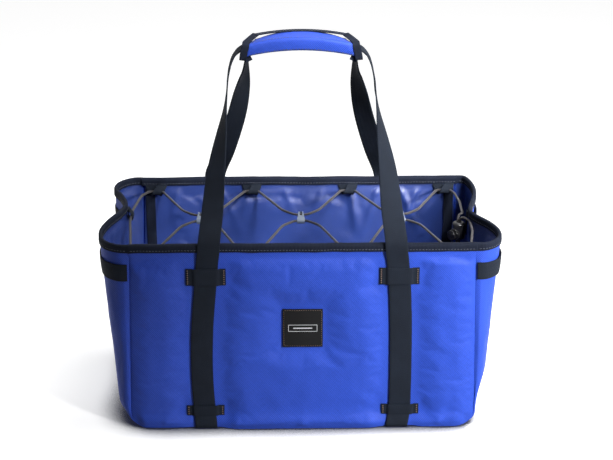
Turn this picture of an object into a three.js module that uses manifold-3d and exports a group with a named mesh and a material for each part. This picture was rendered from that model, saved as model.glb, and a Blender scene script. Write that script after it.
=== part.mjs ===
// An open-topped fabric basket bag: padded front and rear panels, pleated side gussets, two webbing
// straps that run under the base and rise into a pair of carrying handles, a padded grip that wraps
// both handles, and an elastic cord laced across the mouth and held by a spring cord lock.
// Millimetres. +X is the bag's right, +Y its back, +Z up. The origin is under the middle of the base.

import * as THREE from 'three';
import * as BufferGeometryUtils from 'three/addons/utils/BufferGeometryUtils.js';
import Module from 'manifold-3d';

const wasm = await Module();
wasm.setup();

// ---------- driving dimensions ----------

const GAP = 0.3; // clearance kept between pieces that touch

const PANEL_TOP = 396; // width of the front and rear panels at the rim
const PANEL_BOTTOM = 405; // and just above the rounded bottom corners
const CORNER_RADIUS = 17;
const RIM_Z = 229; // top of the rim tape
const OUTER_Y = 120; // outer face of the front and rear fabric
const OUTER_FABRIC = 1.0;
const FOAM = 3.0;
const LINING = 0.8;
const BOARD = 2.0;
const GUSSET = 1.2;
const FOAM_TOP_DROP = 16; // the foam stops this far under the rim
const PANEL_TOP_DROP = 1.5; // and the fabric this far
const INNER_LIFT = 0.8; // the inner layers' clearance over the rounded corners

const TAPE = 1.2; // thickness of the rim and seam tape
const TAPE_DROP = 10; // how far the rim tape folds down on each side
const SEAM_TAPE_WIDTH = 12;

const WEBBING_WIDTH = 25.4;
const WEBBING = 1.8;
const STRAP_X = 114; // strap centre line on the panels
const PIVOT_X = 109; // and where the handles fold
const PIVOT_Z = 207;

const KEEPER = 1.2; // thickness of the cross bands that hold the straps
const UPPER_KEEPER = { x: 110.8, z: 191, width: 46, height: 20.5 };
const LOWER_KEEPER = { x: 114, z: 22.5, width: 44, height: 13 };
const KEEPER_TUNNEL = 30; // inside width of the tunnel over the strap

const PATCH = { width: 46.5, height: 47.5, thickness: 1.5, z: 127 };

const GRIP_Z = 438.5; // the line between the two handle straps, at the top of the arch
const GRIP_RADIUS = 200; // radius of that arch
const GRIP_FLAP_LENGTH = 142;
const GRIP_WRAP_LENGTH = 110;
const GRIP_PAD = 6.5; // from the arch line to the outside of the padding
const GRIP_HALF_DEPTH = 17;
const GRIP_WALL = 3.8;
const BINDING = 0.9;

const CORD = 3; // diameter of the elastic cord
const CORD_BEND = 6; // tightest bend radius along it
const LOOP_Z = 214.2; // centre of the cord loops under the rim
const LOOP_REACH = 4.2; // from the wall to that centre
const LOOP_RADIUS = 4.0;
const LOOP_HOLE = 2.6;
const LOOP_WIDTH = 11;
const REAR_LOOP_XS = [-181, -60.5, 60.5, 181];
const HOOK_XS = [-121, 0, 121];
const HOOK = { width: 8.6, rearY: 14.5, rearZ: 217, frontY: 3.5, frontZ: 213, radius: 4.1, hole: 2.5 };

const LOCK = {
  x: 190, y: -1, z: 198, // centre of the plunger's bore
  turn: THREE.MathUtils.degToRad(43), // the button faces the front left
  radius: 8, above: 14, below: 8, // the body, above and below the bore
  bore: 5, boreEnd: 6.8,
  plunger: 4.7, plungerFront: -12.6, plungerBack: 2.5,
  flange: 6, flangeThickness: 1.5,
  travel: 2.2,
  slotX: 1.8, slotY: 3.5, // half sizes of the cords' passage
};

const FINISHES = {
  blue_fabric: ['#2f46b0', 0.75, 0],
  lining_fabric: ['#27379a', 0.45, 0],
  foam: ['#d8d8d4', 0.95, 0],
  board: ['#2a2a2e', 0.8, 0],
  webbing: ['#23253a', 0.8, 0],
  binding_tape: ['#2b2e46', 0.8, 0],
  leather: ['#17171a', 0.55, 0],
  elastic_cord: ['#4b4a52', 0.7, 0],
  grey_plastic: ['#8f98a8', 0.45, 0],
  black_plastic: ['#15161b', 0.35, 0],
  spring_steel: ['#b4b6ba', 0.3, 1],
  hook_and_loop: ['#1d1e28', 0.95, 0],
};

// ---------- the assembly ----------

const bag = new THREE.Group();
const X = new THREE.Vector3(1, 0, 0);
const Y = new THREE.Vector3(0, 1, 0);
const Z = new THREE.Vector3(0, 0, 1);

function add(name, geometry, finish, parent = bag) {
  const [color, roughness, metalness] = FINISHES[finish];
  const mesh = new THREE.Mesh(geometry, new THREE.MeshStandardMaterial({ color, roughness, metalness }));
  mesh.name = name;
  parent.add(mesh);
  return mesh;
}

const sides = [['left', -1], ['right', 1]];
const faces = [['front', -1], ['rear', 1]];

// ---------- shape helpers ----------

function block(low, high) {
  const size = high.map((value, i) => value - low[i]);
  const middle = high.map((value, i) => (value + low[i]) / 2);
  return new THREE.BoxGeometry(...size).translate(...middle);
}

// An outline in its own plane, given a thickness centred on that plane, then stood up: its first axis
// along `across`, its second along `up`, and its own origin at `origin`.
function plate(shape, thickness, origin, across, up, curveSegments = 6) {
  const geometry = new THREE.ExtrudeGeometry(shape, { depth: thickness, bevelEnabled: false, curveSegments });
  geometry.translate(0, 0, -thickness / 2);
  const basis = new THREE.Matrix4().makeBasis(across, up, new THREE.Vector3().crossVectors(across, up));
  return geometry.applyMatrix4(basis).translate(...origin);
}

function closed(positions, indices) {
  const geometry = new THREE.BufferGeometry();
  geometry.setAttribute('position', new THREE.Float32BufferAttribute(positions, 3));
  geometry.setIndex(signedVolume(positions, indices) < 0 ? indices.reverse() : indices);
  geometry.computeVertexNormals();
  return geometry;
}

function signedVolume(positions, indices) {
  const corner = (i) => new THREE.Vector3().fromArray(positions, indices[i] * 3);
  let total = 0;
  for (let i = 0; i < indices.length; i += 3) {
    total += corner(i).dot(corner(i + 1).cross(corner(i + 2)));
  }
  return total / 6;
}

// Carries a section (points in an across/up plane) through a list of frames and closes both ends.
function sweep(section, frames) {
  const count = section.length;
  const positions = [];
  const indices = [];
  for (const { origin, across, up } of frames) {
    for (const [a, b] of section) {
      const point = origin.clone().addScaledVector(across, a).addScaledVector(up, b);
      positions.push(point.x, point.y, point.z);
    }
  }
  for (let row = 0; row + 1 < frames.length; row++) {
    for (let i = 0; i < count; i++) {
      const a = row * count + i;
      const b = row * count + ((i + 1) % count);
      indices.push(a, b, a + count, b, b + count, a + count);
    }
  }
  const cap = THREE.ShapeUtils.triangulateShape(section.map(([a, b]) => new THREE.Vector2(a, b)), []);
  const last = (frames.length - 1) * count;
  for (const [i, j, k] of cap) {
    indices.push(k, j, i, last + i, last + j, last + k);
  }
  return closed(positions, indices);
}

// A sheet of even thickness whose middle follows surface(u, v), with u and v from 0 to 1.
function sheet(surface, uValues, vValues, thickness) {
  const near = 1e-3;
  const columns = uValues.length;
  const uSteps = columns - 1;
  const rows = vValues.length;
  const positions = [];
  const indices = [];
  for (const half of [thickness / 2, -thickness / 2]) {
    for (const v of vValues) {
      for (const u of uValues) {
        const along = surface(Math.min(u + near, 1), v).sub(surface(Math.max(u - near, 0), v));
        const rise = surface(u, Math.min(v + near, 1)).sub(surface(u, Math.max(v - near, 0)));
        const normal = along.cross(rise).normalize();
        const point = surface(u, v).addScaledVector(normal, half);
        positions.push(point.x, point.y, point.z);
      }
    }
  }
  const back = columns * rows;
  const quad = (a, b, c, d) => indices.push(a, b, c, a, c, d);
  for (let j = 0; j + 1 < rows; j++) {
    for (let i = 0; i < uSteps; i++) {
      const a = j * columns + i;
      quad(a, a + 1, a + 1 + columns, a + columns);
      quad(back + a + columns, back + a + 1 + columns, back + a + 1, back + a);
    }
    const left = j * columns;
    const right = left + uSteps;
    quad(left, left + columns, back + left + columns, back + left);
    quad(right, back + right, back + right + columns, right + columns);
  }
  const top = (rows - 1) * columns;
  for (let i = 0; i < uSteps; i++) {
    quad(i, back + i, back + i + 1, i + 1);
    quad(top + i, top + i + 1, back + top + i + 1, back + top + i);
  }
  return closed(positions, indices);
}

// A flat ribbon of webbing through rows of [x, y, z, twist]. At 0 degrees of twist its width lies along
// +X, at 90 along `side`, and at 180 along -X.
function ribbon(rows, side, steps) {
  const curve = new THREE.CatmullRomCurve3(rows.map(([x, y, z]) => new THREE.Vector3(x, y, z)));
  const frames = [];
  for (let i = 0; i <= steps; i++) {
    const t = i / steps;
    const place = t * (rows.length - 1);
    const row = Math.min(Math.floor(place), rows.length - 2);
    const twist = THREE.MathUtils.degToRad(THREE.MathUtils.lerp(rows[row][3], rows[row + 1][3], place - row));
    const tangent = curve.getTangent(t);
    const across = X.clone().multiplyScalar(Math.cos(twist)).addScaledVector(side, Math.sin(twist));
    across.addScaledVector(tangent, -across.dot(tangent)).normalize();
    frames.push({ origin: curve.getPoint(t), across, up: new THREE.Vector3().crossVectors(tangent, across) });
  }
  const w = WEBBING_WIDTH / 2;
  const h = WEBBING / 2;
  return sweep([[-w, -h], [w, -h], [w, h], [-w, h]], frames);
}

function toManifold(geometry) {
  const bare = geometry.clone();
  bare.deleteAttribute('normal');
  bare.deleteAttribute('uv');
  const merged = BufferGeometryUtils.mergeVertices(bare, 1e-4);
  const vertProperties = new Float32Array(merged.attributes.position.array);
  const triVerts = new Uint32Array(merged.index.array);
  return new wasm.Manifold(new wasm.Mesh({ numProp: 3, vertProperties, triVerts }));
}

function fromManifold(solid) {
  const { vertProperties, triVerts } = solid.getMesh();
  const geometry = new THREE.BufferGeometry();
  geometry.setAttribute('position', new THREE.BufferAttribute(vertProperties, 3));
  geometry.setIndex(new THREE.BufferAttribute(triVerts, 1));
  geometry.computeVertexNormals();
  return geometry;
}

function cut(geometry, ...tools) {
  return fromManifold(tools.reduce((left, tool) => left.subtract(toManifold(tool)), toManifold(geometry)));
}

// ---------- front, rear and base ----------

const BASE_Z = WEBBING + GAP; // the fabric stands on the two straps
const LAYER_Y = {
  outer: [OUTER_Y - OUTER_FABRIC, OUTER_Y],
  foam: [OUTER_Y - OUTER_FABRIC - GAP - FOAM, OUTER_Y - OUTER_FABRIC - GAP],
};
LAYER_Y.lining = [LAYER_Y.foam[0] - GAP - LINING, LAYER_Y.foam[0] - GAP];

// Half the panel's width at a height, before the corner is rounded.
function panelEdge(z) {
  const rise = THREE.MathUtils.clamp((z - CORNER_RADIUS) / (RIM_Z - CORNER_RADIUS), 0, 1);
  return THREE.MathUtils.lerp(PANEL_BOTTOM, PANEL_TOP, rise) / 2;
}

// The panel's outline, drawn in by `inset`, from `bottom` up to `top`.
function panelShape(inset, bottom, top) {
  const radius = CORNER_RADIUS - inset;
  const low = panelEdge(0) - inset;
  const high = panelEdge(top) - inset;
  const shape = new THREE.Shape();
  shape.moveTo(high, top);
  shape.lineTo(-high, top);
  shape.lineTo(-low, bottom + radius);
  shape.absarc(-low + radius, bottom + radius, radius, Math.PI, Math.PI * 1.5, false);
  shape.absarc(low - radius, bottom + radius, radius, Math.PI * 1.5, Math.PI * 2, false);
  return shape;
}

const panelTop = RIM_Z - PANEL_TOP_DROP;
const innerBottom = BASE_Z + OUTER_FABRIC + GAP; // the inner layers stand on the base fabric
const panelLayers = [
  ['outer', 'blue_fabric', 0, BASE_Z, panelTop],
  ['foam', 'foam', 4, innerBottom + INNER_LIFT, RIM_Z - FOAM_TOP_DROP],
  ['lining', 'lining_fabric', 4, innerBottom + INNER_LIFT, panelTop],
];
for (const [face, side] of faces) {
  for (const [layer, finish, inset, bottom, top] of panelLayers) {
    const [near, far] = LAYER_Y[layer];
    const origin = [0, (side * (near + far)) / 2, 0];
    add(`${face}_${layer}`, plate(panelShape(inset, bottom, top), far - near, origin, X, Z), finish);
  }
}

const baseHalf = panelEdge(0) - CORNER_RADIUS; // the flat base ends where the corners turn up
const baseLayers = [
  ['outer', 'blue_fabric', OUTER_FABRIC, LAYER_Y.outer[0] - GAP, BASE_Z],
  ['board', 'board', BOARD, LAYER_Y.lining[0] - GAP, innerBottom],
  ['lining', 'lining_fabric', LINING, LAYER_Y.lining[0] - GAP, innerBottom + BOARD + GAP],
];
for (const [layer, finish, thickness, halfDepth, z] of baseLayers) {
  const half = baseHalf - GAP;
  add(`base_${layer}`, block([-half, -halfDepth, z], [half, halfDepth, z + thickness]), finish);
}

// ---------- gussets ----------

const GUSSET_Y = LAYER_Y.outer[0] - GAP - GUSSET / 2; // the sheet's ends, just inside the panels
// How far each gusset stands out of the straight line between the panels, at the rim: [out, y].
const PLEATS = {
  left: [
    [0, -GUSSET_Y], [13, -GUSSET_Y + 1], [29, -103], [36, -72], [31.5, -40], [19, -4], [14, 22],
    [20, 50], [31, 82], [26, 105], [11, GUSSET_Y - 1], [0, GUSSET_Y],
  ],
  right: [
    [0, -GUSSET_Y], [13, -GUSSET_Y + 1], [26, -105], [31, -82], [24, -50], [8, -20], [5, -8],
    [9, 18], [16, 50], [18, 76], [15.5, 100], [9, GUSSET_Y - 1], [0, GUSSET_Y],
  ],
};

// Where the gusset's middle line runs as it climbs: round the bottom corner, then up to the rim.
const cornerShare = 0.16;
function climb(v) {
  const half = panelEdge(0) - GUSSET / 2;
  const radius = CORNER_RADIUS - GUSSET / 2;
  const low = BASE_Z + GUSSET / 2;
  if (v < cornerShare) {
    const angle = (v / cornerShare) * (Math.PI / 2);
    const x = half - radius + radius * Math.sin(angle);
    return { x, z: low + radius - radius * Math.cos(angle), outX: Math.sin(angle), outZ: -Math.cos(angle) };
  }
  const z = THREE.MathUtils.lerp(low + radius, panelTop, (v - cornerShare) / (1 - cornerShare));
  return { x: panelEdge(z) - GUSSET / 2, z, outX: 1, outZ: 0 };
}

// The pleats start flat at the base, are `foot` open at `low` over it, open further towards the rim and
// stand straight up under the rim tape.
const PLEAT_OPENING = {
  left: { foot: 0.42, power: 1.1, low: 30 },
  right: { foot: 0.36, power: 1.15, low: 70 },
};
function pleatOpening(sideName, z) {
  const { foot, power, low } = PLEAT_OPENING[sideName];
  const straight = RIM_Z - TAPE_DROP - 3;
  const rise = THREE.MathUtils.clamp((z - BASE_Z) / (straight - BASE_Z), 0, 1);
  return THREE.MathUtils.smoothstep(z, BASE_Z, BASE_Z + low) * (foot + (1 - foot) * rise ** power);
}

function pleatCurve(side) {
  return new THREE.CatmullRomCurve3(PLEATS[side].map(([out, y]) => new THREE.Vector3(out, y, 0)));
}

function gussetSurface(sideName, side) {
  const curve = pleatCurve(sideName);
  return (u, v) => {
    const pleat = curve.getPointAt(u);
    const { x, z, outX, outZ } = climb(v);
    const out = pleat.x * pleatOpening(sideName, z);
    return new THREE.Vector3(side * (x + out * outX), pleat.y, z + out * outZ * 0.1);
  };
}

const climbValues = [0.001, 0.055, 0.105, cornerShare, 0.22, 0.32, 0.48, 0.64, 0.8, 0.955, 1];
const GUSSET_STEPS = 24;
const gussetColumns = Array.from({ length: GUSSET_STEPS + 1 }, (_, i) => i / GUSSET_STEPS);
for (const [sideName, side] of sides) {
  add(`${sideName}_gusset`, sheet(gussetSurface(sideName, side), gussetColumns, climbValues, GUSSET), 'blue_fabric');
}

// ---------- tapes ----------

const tapeInner = LAYER_Y.lining[0] - GAP; // inner leg of the rim tape lies on the lining
const tapeOuter = OUTER_Y + GAP;
for (const [face, side] of faces) {
  const middle = (tapeInner + tapeOuter) / 2;
  const reach = tapeOuter - middle;
  const section = [
    [-reach - TAPE, -TAPE_DROP], [-reach, -TAPE_DROP], [-reach, -TAPE], [reach, -TAPE],
    [reach, -TAPE_DROP], [reach + TAPE, -TAPE_DROP], [reach + TAPE, 0], [-reach - TAPE, 0],
  ];
  const shape = new THREE.Shape(section.map(([a, b]) => new THREE.Vector2(a, b)));
  const length = PANEL_TOP - 2 * GAP;
  add(`${face}_rim_tape`, plate(shape, length, [0, side * middle, RIM_Z], Y, Z), 'binding_tape');

  for (const [sideName, hand] of sides) {
    const edge = hand * (panelEdge(panelTop) - 4);
    const inner = edge - hand * SEAM_TAPE_WIDTH;
    const back = side * (LAYER_Y.lining[0] - GAP);
    const low = [Math.min(edge, inner), Math.min(back, back - side * TAPE), 34];
    const high = [Math.max(edge, inner), Math.max(back, back - side * TAPE), RIM_Z - TAPE_DROP - GAP];
    add(`${face}_${sideName}_seam_tape`, block(low, high), 'binding_tape');
  }
}

for (const [sideName, side] of sides) {
  const curve = pleatCurve(sideName);
  const edge = panelEdge(panelTop) - GUSSET / 2;
  const clear = GUSSET / 2 + 0.6;
  const section = [
    [-clear - TAPE, -TAPE_DROP], [-clear, -TAPE_DROP], [-clear, -TAPE], [clear, -TAPE],
    [clear, -TAPE_DROP], [clear + TAPE, -TAPE_DROP], [clear + TAPE, 0], [-clear - TAPE, 0],
  ];
  const frames = [];
  const start = 0.01; // the tape starts just clear of the panel's own
  for (const u of gussetColumns.map((value) => THREE.MathUtils.clamp(value, start, 1 - start))) {
    const pleat = curve.getPointAt(u);
    const run = curve.getTangentAt(u);
    const across = new THREE.Vector3(side * run.y, -run.x, 0).normalize();
    frames.push({ origin: new THREE.Vector3(side * (edge + pleat.x), pleat.y, RIM_Z), across, up: Z });
  }
  add(`${sideName}_rim_tape`, sweep(section, frames), 'binding_tape');
}

// A band of webbing sewn across each gusset, just under the rim tape.
const BAND = { low: 186, high: 206, thickness: 1.4 };
for (const [sideName, side] of sides) {
  const surface = gussetSurface(sideName, side);
  const stand = GUSSET / 2 + 0.7 + BAND.thickness / 2;
  const vAt = (z) => {
    const low = climb(cornerShare).z;
    return cornerShare + ((z - low) / (panelTop - low)) * (1 - cornerShare);
  };
  const band = (u, v) => {
    const height = THREE.MathUtils.lerp(vAt(BAND.low), vAt(BAND.high), v);
    const step = 1e-3;
    const along = surface(u + step, height).sub(surface(u - step, height));
    const rise = surface(u, height + step).sub(surface(u, height - step));
    const normal = along.cross(rise).normalize().multiplyScalar(side);
    return surface(u, height).addScaledVector(normal, stand);
  };
  add(`${sideName}_side_band`, sheet(band, gussetColumns.slice(1, -1), [0, 1], BAND.thickness), 'webbing');
}

// ---------- straps and handles ----------

const strapY = OUTER_Y + GAP + WEBBING / 2;
const strapTopZ = PIVOT_Z - GAP / 2;

for (const [sideName, side] of sides) {
  const turn = 1.5; // radius of the bend under the base edge
  const bottom = WEBBING / 2;
  const half = [
    [side * PIVOT_X, strapY, strapTopZ, 0],
    [side * (PIVOT_X + 1.6), strapY, UPPER_KEEPER.z, 0],
    [side * STRAP_X, strapY, 130, 0],
    [side * STRAP_X, strapY, 50, 0],
    [side * STRAP_X, strapY, 10, 0],
    [side * STRAP_X, strapY, 5, 0],
    [side * STRAP_X, strapY, bottom + turn, 0],
    [side * STRAP_X, strapY - turn * 0.3, bottom + turn * 0.3, 0],
    [side * STRAP_X, strapY - turn, bottom, 0],
    [side * STRAP_X, strapY - turn - 4, bottom, 0],
    [side * STRAP_X, 60, bottom, 0],
  ];
  const mirrored = half.map(([x, y, z, twist]) => [x, -y, z, twist]).reverse();
  const rows = [...half, [side * STRAP_X, 0, bottom, 0], ...mirrored];
  add(`${sideName}_strap`, ribbon(rows, Y, (rows.length - 1) * 2), 'webbing');
}

// Points on the grip's arch, at a height above or below the line between the straps.
function archPoint(x, lift) {
  const angle = Math.asin(x / (GRIP_RADIUS + lift));
  return [x, 0, GRIP_Z - GRIP_RADIUS + (GRIP_RADIUS + lift) * Math.cos(angle)];
}

const strapStack = WEBBING / 2 + 0.4; // each strap's middle from the line between them
const handleTopY = tapeOuter + TAPE + GAP + WEBBING / 2; // over the rim tape
const handleRows = {
  // [x, y, z, twist] from the fold up the left side, for the strap on the front (outer, upper) handle
  front: [
    [-PIVOT_X, -strapY, PIVOT_Z + GAP / 2, 0],
    [-108.5, -strapY - 0.4, 212, 0],
    [-107.3, -handleTopY, 221, 0],
    [-106.4, -handleTopY + 0.5, 233, 2],
    [-102.5, -101, 262, 14],
    [-98, -77.5, 305, 40],
    [-92.5, -58, 340, 66],
    [-88.5, -43, 365, 84],
    [-86, -30, 383, 90],
    [-84, -17, 400, 90],
    [-81, -7, 412, 90],
    [-76.8, -1.6, 420.6, 90],
    [...archPoint(-70, strapStack), 90],
    [...archPoint(-45, strapStack), 90],
    [...archPoint(-20, strapStack), 90],
  ],
  // and for the strap on the rear (inner, lower) handle
  rear: [
    [-PIVOT_X, strapY, PIVOT_Z + GAP / 2, 0],
    [-108.5, strapY + 0.4, 212, 0],
    [-107.3, handleTopY, 221, 0],
    [-106.2, handleTopY - 0.4, 233, 0],
    [-93, 95, 272, 8],
    [-77, 61, 329, 24],
    [-70, 39, 367, 46],
    [-66.5, 21, 396, 74],
    [-64.8, 9, 411, 88],
    [-62, 2.5, 420.2, 90],
    [...archPoint(-55, -strapStack), 90],
    [...archPoint(-38, -strapStack), 90],
    [...archPoint(-18, -strapStack), 90],
  ],
};
for (const [face, side] of faces) {
  const left = handleRows[face];
  const right = left.map(([x, y, z, twist]) => [-x, y, z, 180 - twist]).reverse();
  const top = [...archPoint(0, -side * strapStack), 90];
  const width = Y.clone().multiplyScalar(side);
  add(`${face}_handle_strap`, ribbon([...left, top, ...right], width, 64), 'webbing');
}

// ---------- strap keepers and patch ----------

function keeper({ x, z, width, height }, hand, side) {
  const half = width / 2;
  const tunnel = KEEPER_TUNNEL / 2;
  const rise = WEBBING + GAP; // the tunnel's height over the feet
  const outline = [
    [-half, 0], [-tunnel, 0], [-tunnel + 1, rise], [tunnel - 1, rise], [tunnel, 0], [half, 0],
    [half, KEEPER], [tunnel + 1, KEEPER], [tunnel, rise + KEEPER], [-tunnel, rise + KEEPER],
    [-tunnel - 1, KEEPER], [-half, KEEPER],
  ];
  const shape = new THREE.Shape(outline.map(([a, b]) => new THREE.Vector2(a, b)));
  const outward = Y.clone().multiplyScalar(side);
  return plate(shape, height, [hand * x, side * (OUTER_Y + GAP), z], X, outward);
}

for (const [face, side] of faces) {
  for (const [sideName, hand] of sides) {
    add(`${face}_${sideName}_upper_keeper`, keeper(UPPER_KEEPER, hand, side), 'webbing');
    add(`${face}_${sideName}_lower_keeper`, keeper(LOWER_KEEPER, hand, side), 'webbing');
  }
}

const patchBack = -OUTER_Y - GAP;
add('leather_patch', block(
  [-PATCH.width / 2, patchBack - PATCH.thickness, PATCH.z - PATCH.height / 2],
  [PATCH.width / 2, patchBack, PATCH.z + PATCH.height / 2],
), 'leather');

// ---------- grip ----------

function archFrames(length, steps) {
  const frames = [];
  for (let i = 0; i <= steps; i++) {
    const angle = THREE.MathUtils.lerp(-0.5, 0.5, i / steps) * (length / GRIP_RADIUS);
    const up = new THREE.Vector3(Math.sin(angle), 0, Math.cos(angle));
    frames.push({ origin: new THREE.Vector3(0, 0, GRIP_Z - GRIP_RADIUS).addScaledVector(up, GRIP_RADIUS), across: Y, up });
  }
  return frames;
}

const gripInner = GRIP_HALF_DEPTH - GRIP_WALL;
const flapFront = -GRIP_HALF_DEPTH - 0.4;
const stripTop = GRIP_PAD - GRIP_WALL + 0.9; // underside of the flap's top
const strip = 0.6;
const hookTop = stripTop - strip - 2 * GAP;

// Padding under the straps and behind them, sewn to the rear handle.
add('grip_wrap', sweep([
  [-gripInner - 0.2, -GRIP_PAD], [GRIP_HALF_DEPTH, -GRIP_PAD], [GRIP_HALF_DEPTH, hookTop - strip - GAP],
  [gripInner, hookTop - strip - GAP], [gripInner, GRIP_WALL - GRIP_PAD], [-gripInner - 0.2, GRIP_WALL - GRIP_PAD],
], archFrames(GRIP_WRAP_LENGTH, 10)), 'blue_fabric');
// Padding in front of the straps and over them, which opens forwards.
add('grip_flap', sweep([
  [flapFront, -GRIP_PAD], [-gripInner - 0.5, -GRIP_PAD], [-gripInner - 0.5, stripTop],
  [GRIP_HALF_DEPTH, stripTop], [GRIP_HALF_DEPTH, GRIP_PAD], [flapFront, GRIP_PAD],
], archFrames(GRIP_FLAP_LENGTH, 14)), 'blue_fabric');
const bindingLow = GRIP_PAD + GAP;
add('grip_binding', sweep([
  [3, bindingLow], [GRIP_HALF_DEPTH, bindingLow],
  [GRIP_HALF_DEPTH, bindingLow + BINDING], [3, bindingLow + BINDING],
], archFrames(GRIP_FLAP_LENGTH, 14)), 'binding_tape');
// The two halves of the grip's closure, one on each side of the join.
const stripSection = (top) => [
  [gripInner + 0.2, top - strip], [GRIP_HALF_DEPTH - 0.2, top - strip],
  [GRIP_HALF_DEPTH - 0.2, top], [gripInner + 0.2, top],
];
add('grip_hook_strip', sweep(stripSection(hookTop), archFrames(GRIP_WRAP_LENGTH - 6, 8)), 'hook_and_loop');
add('grip_loop_strip', sweep(stripSection(stripTop - GAP), archFrames(GRIP_WRAP_LENGTH - 6, 8)), 'hook_and_loop');

// ---------- cord loops, hooks and the elastic cord ----------

// A folded tab that hangs on a wall (its first axis points off the wall) and carries the cord.
function loopShape() {
  const shape = new THREE.Shape();
  const neck = 1.4;
  const neckMeet = Math.acos((neck - LOOP_REACH) / LOOP_RADIUS);
  const foot = THREE.MathUtils.degToRad(200);
  shape.moveTo(0, 8);
  shape.lineTo(0, LOOP_RADIUS * Math.sin(foot));
  shape.absarc(LOOP_REACH, 0, LOOP_RADIUS, foot, neckMeet + Math.PI * 2, false);
  shape.lineTo(neck, 8);
  const hole = new THREE.Path();
  hole.absarc(LOOP_REACH, 0, LOOP_HOLE, 0, Math.PI * 2, true);
  shape.holes.push(hole);
  return shape;
}

const loopWall = tapeInner - TAPE - GAP; // face of the rim tape that the loops hang on
for (const [face, side] of faces) {
  REAR_LOOP_XS.forEach((x, i) => {
    const inward = Y.clone().multiplyScalar(-side);
    const geometry = plate(loopShape(), LOOP_WIDTH, [x, side * loopWall, LOOP_Z], inward, Z, 5);
    add(`${face}_cord_loop_${i + 1}`, geometry, 'webbing');
  });
}

const crease = { left: PLEATS.left[6], right: PLEATS.right[6] };
function creaseWall(sideName) {
  return panelEdge(panelTop) - GUSSET / 2 + crease[sideName][0] - GUSSET / 2 - 0.4 - TAPE - GAP;
}
const leftWall = -creaseWall('left');
add('left_cord_tab', plate(loopShape(), LOOP_WIDTH, [leftWall, crease.left[1], LOOP_Z], X, Z, 5), 'webbing');

// A short tab that holds the cord lock under the right rim.
const tabWall = creaseWall('right');
const lockTop = LOCK.z + LOCK.above;
add('right_lock_tab', block([tabWall - 1.4, LOCK.y - 5, lockTop - 8], [tabWall, LOCK.y + 5, RIM_Z - 3]), 'webbing');

function hookShape() {
  const { rearY, rearZ, frontY, frontZ, radius, hole } = HOOK;
  const lean = Math.atan2(rearZ - frontZ, rearY - frontY);
  const shape = new THREE.Shape();
  shape.absarc(rearY, rearZ, radius, lean - Math.PI / 2, lean + Math.PI / 2, false);
  shape.absarc(frontY, frontZ, radius, lean + Math.PI / 2, lean + Math.PI * 1.5, false);
  for (const [y, z] of [[rearY, rearZ], [frontY, frontZ]]) {
    const eye = new THREE.Path();
    eye.absarc(y, z, hole, 0, Math.PI * 2, true);
    shape.holes.push(eye);
  }
  return shape;
}
HOOK_XS.forEach((x, i) => {
  add(`cord_hook_${i + 1}`, plate(hookShape(), HOOK.width, [x, 0, 0], Y, Z, 5), 'grey_plastic');
});

// The cord's corners, [x, y, z, bend radius], where it runs level through a loop and through a hook.
// `way` is -1 where it runs to the left and 1 where it runs to the right.
function throughLoop(x, side, way) {
  return [[x - way * 8.5, side * 109.1, LOOP_Z, 6], [x + way * 8.5, side * 109.1, LOOP_Z, 6]];
}
function throughHook(x, y, z, side, way) {
  return [
    [x - way * 22, y + side * 16, z, 30], [x - way * 7, y, z, 12],
    [x + way * 7, y, z, 12], [x + way * 22, y + side * 16, z, 30],
  ];
}

const CORD_FOOT = 182; // where both tails end, on the knot

// From one tail in the lock, round the mouth, to the other tail.
const CORD_ROUTE = [
  [188.9, 0.2, CORD_FOOT, 0], [188.9, 0.2, 219.5, 6], [196.5, 22, 215, 20], [197, 62, 215, 40], [194, 95, 214.6, 12],
  ...throughLoop(181, 1, -1), ...throughHook(121, 14, 217, 1, -1), ...throughLoop(60.5, 1, -1),
  ...throughHook(0, 14, 217, 1, -1), ...throughLoop(-60.5, 1, -1), ...throughHook(-121, 14, 217, 1, -1),
  ...throughLoop(-181, 1, -1),
  [-198, 93, 214.2, 20], [-205, 42, 214.2, 40], [-205.4, 4, 214.2, 40], [-198, -88, 214.2, 20],
  ...throughLoop(-181, -1, 1), ...throughHook(-121, 4, 213, -1, 1), ...throughLoop(-60.5, -1, 1),
  ...throughHook(0, 4, 213, -1, 1), ...throughLoop(60.5, -1, 1), ...throughHook(121, 4, 213, -1, 1),
  ...throughLoop(181, -1, 1),
  [196, -84, 214.6, 30], [202, -42, 215.5, 30], [201.5, -14, 218, 12], [191.1, -2.2, 220, 6], [191.1, -2.2, CORD_FOOT, 0],
];

// The route's straight runs, with each corner taken off where its bend would begin and end.
function cordPath(route) {
  const points = route.map(([x, y, z]) => new THREE.Vector3(x, y, z));
  const path = [points[0]];
  for (let i = 1; i + 1 < points.length; i++) {
    const back = points[i - 1].clone().sub(points[i]).normalize();
    const ahead = points[i + 1].clone().sub(points[i]).normalize();
    const turn = Math.PI - back.angleTo(ahead);
    const trim = Math.max(route[i][3], CORD_BEND) * Math.tan(turn / 2);
    path.push(points[i].clone().addScaledVector(back, trim), points[i].clone().addScaledVector(ahead, trim));
  }
  path.push(points[points.length - 1]);
  return path;
}

function cordFrames(path) {
  const frames = [];
  let up = Y.clone();
  path.forEach((origin, i) => {
    const before = path[Math.max(i - 1, 0)];
    const after = path[Math.min(i + 1, path.length - 1)];
    const tangent = after.clone().sub(before).normalize();
    up = up.clone().addScaledVector(tangent, -up.dot(tangent)).normalize();
    frames.push({ origin, across: new THREE.Vector3().crossVectors(up, tangent), up });
  });
  return frames;
}

function ring(radius, count) {
  return Array.from({ length: count }, (_, i) => {
    const angle = (i / count) * Math.PI * 2;
    return [radius * Math.cos(angle), radius * Math.sin(angle)];
  });
}
add('elastic_cord', sweep(ring(CORD / 2, 8), cordFrames(cordPath(CORD_ROUTE))), 'elastic_cord');

const knot = new THREE.SphereGeometry(5, 10, 6).scale(1, 1, 0.9);
add('cord_knot', knot.translate(LOCK.x, LOCK.y, CORD_FOOT - GAP - 4.5), 'elastic_cord');

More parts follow.
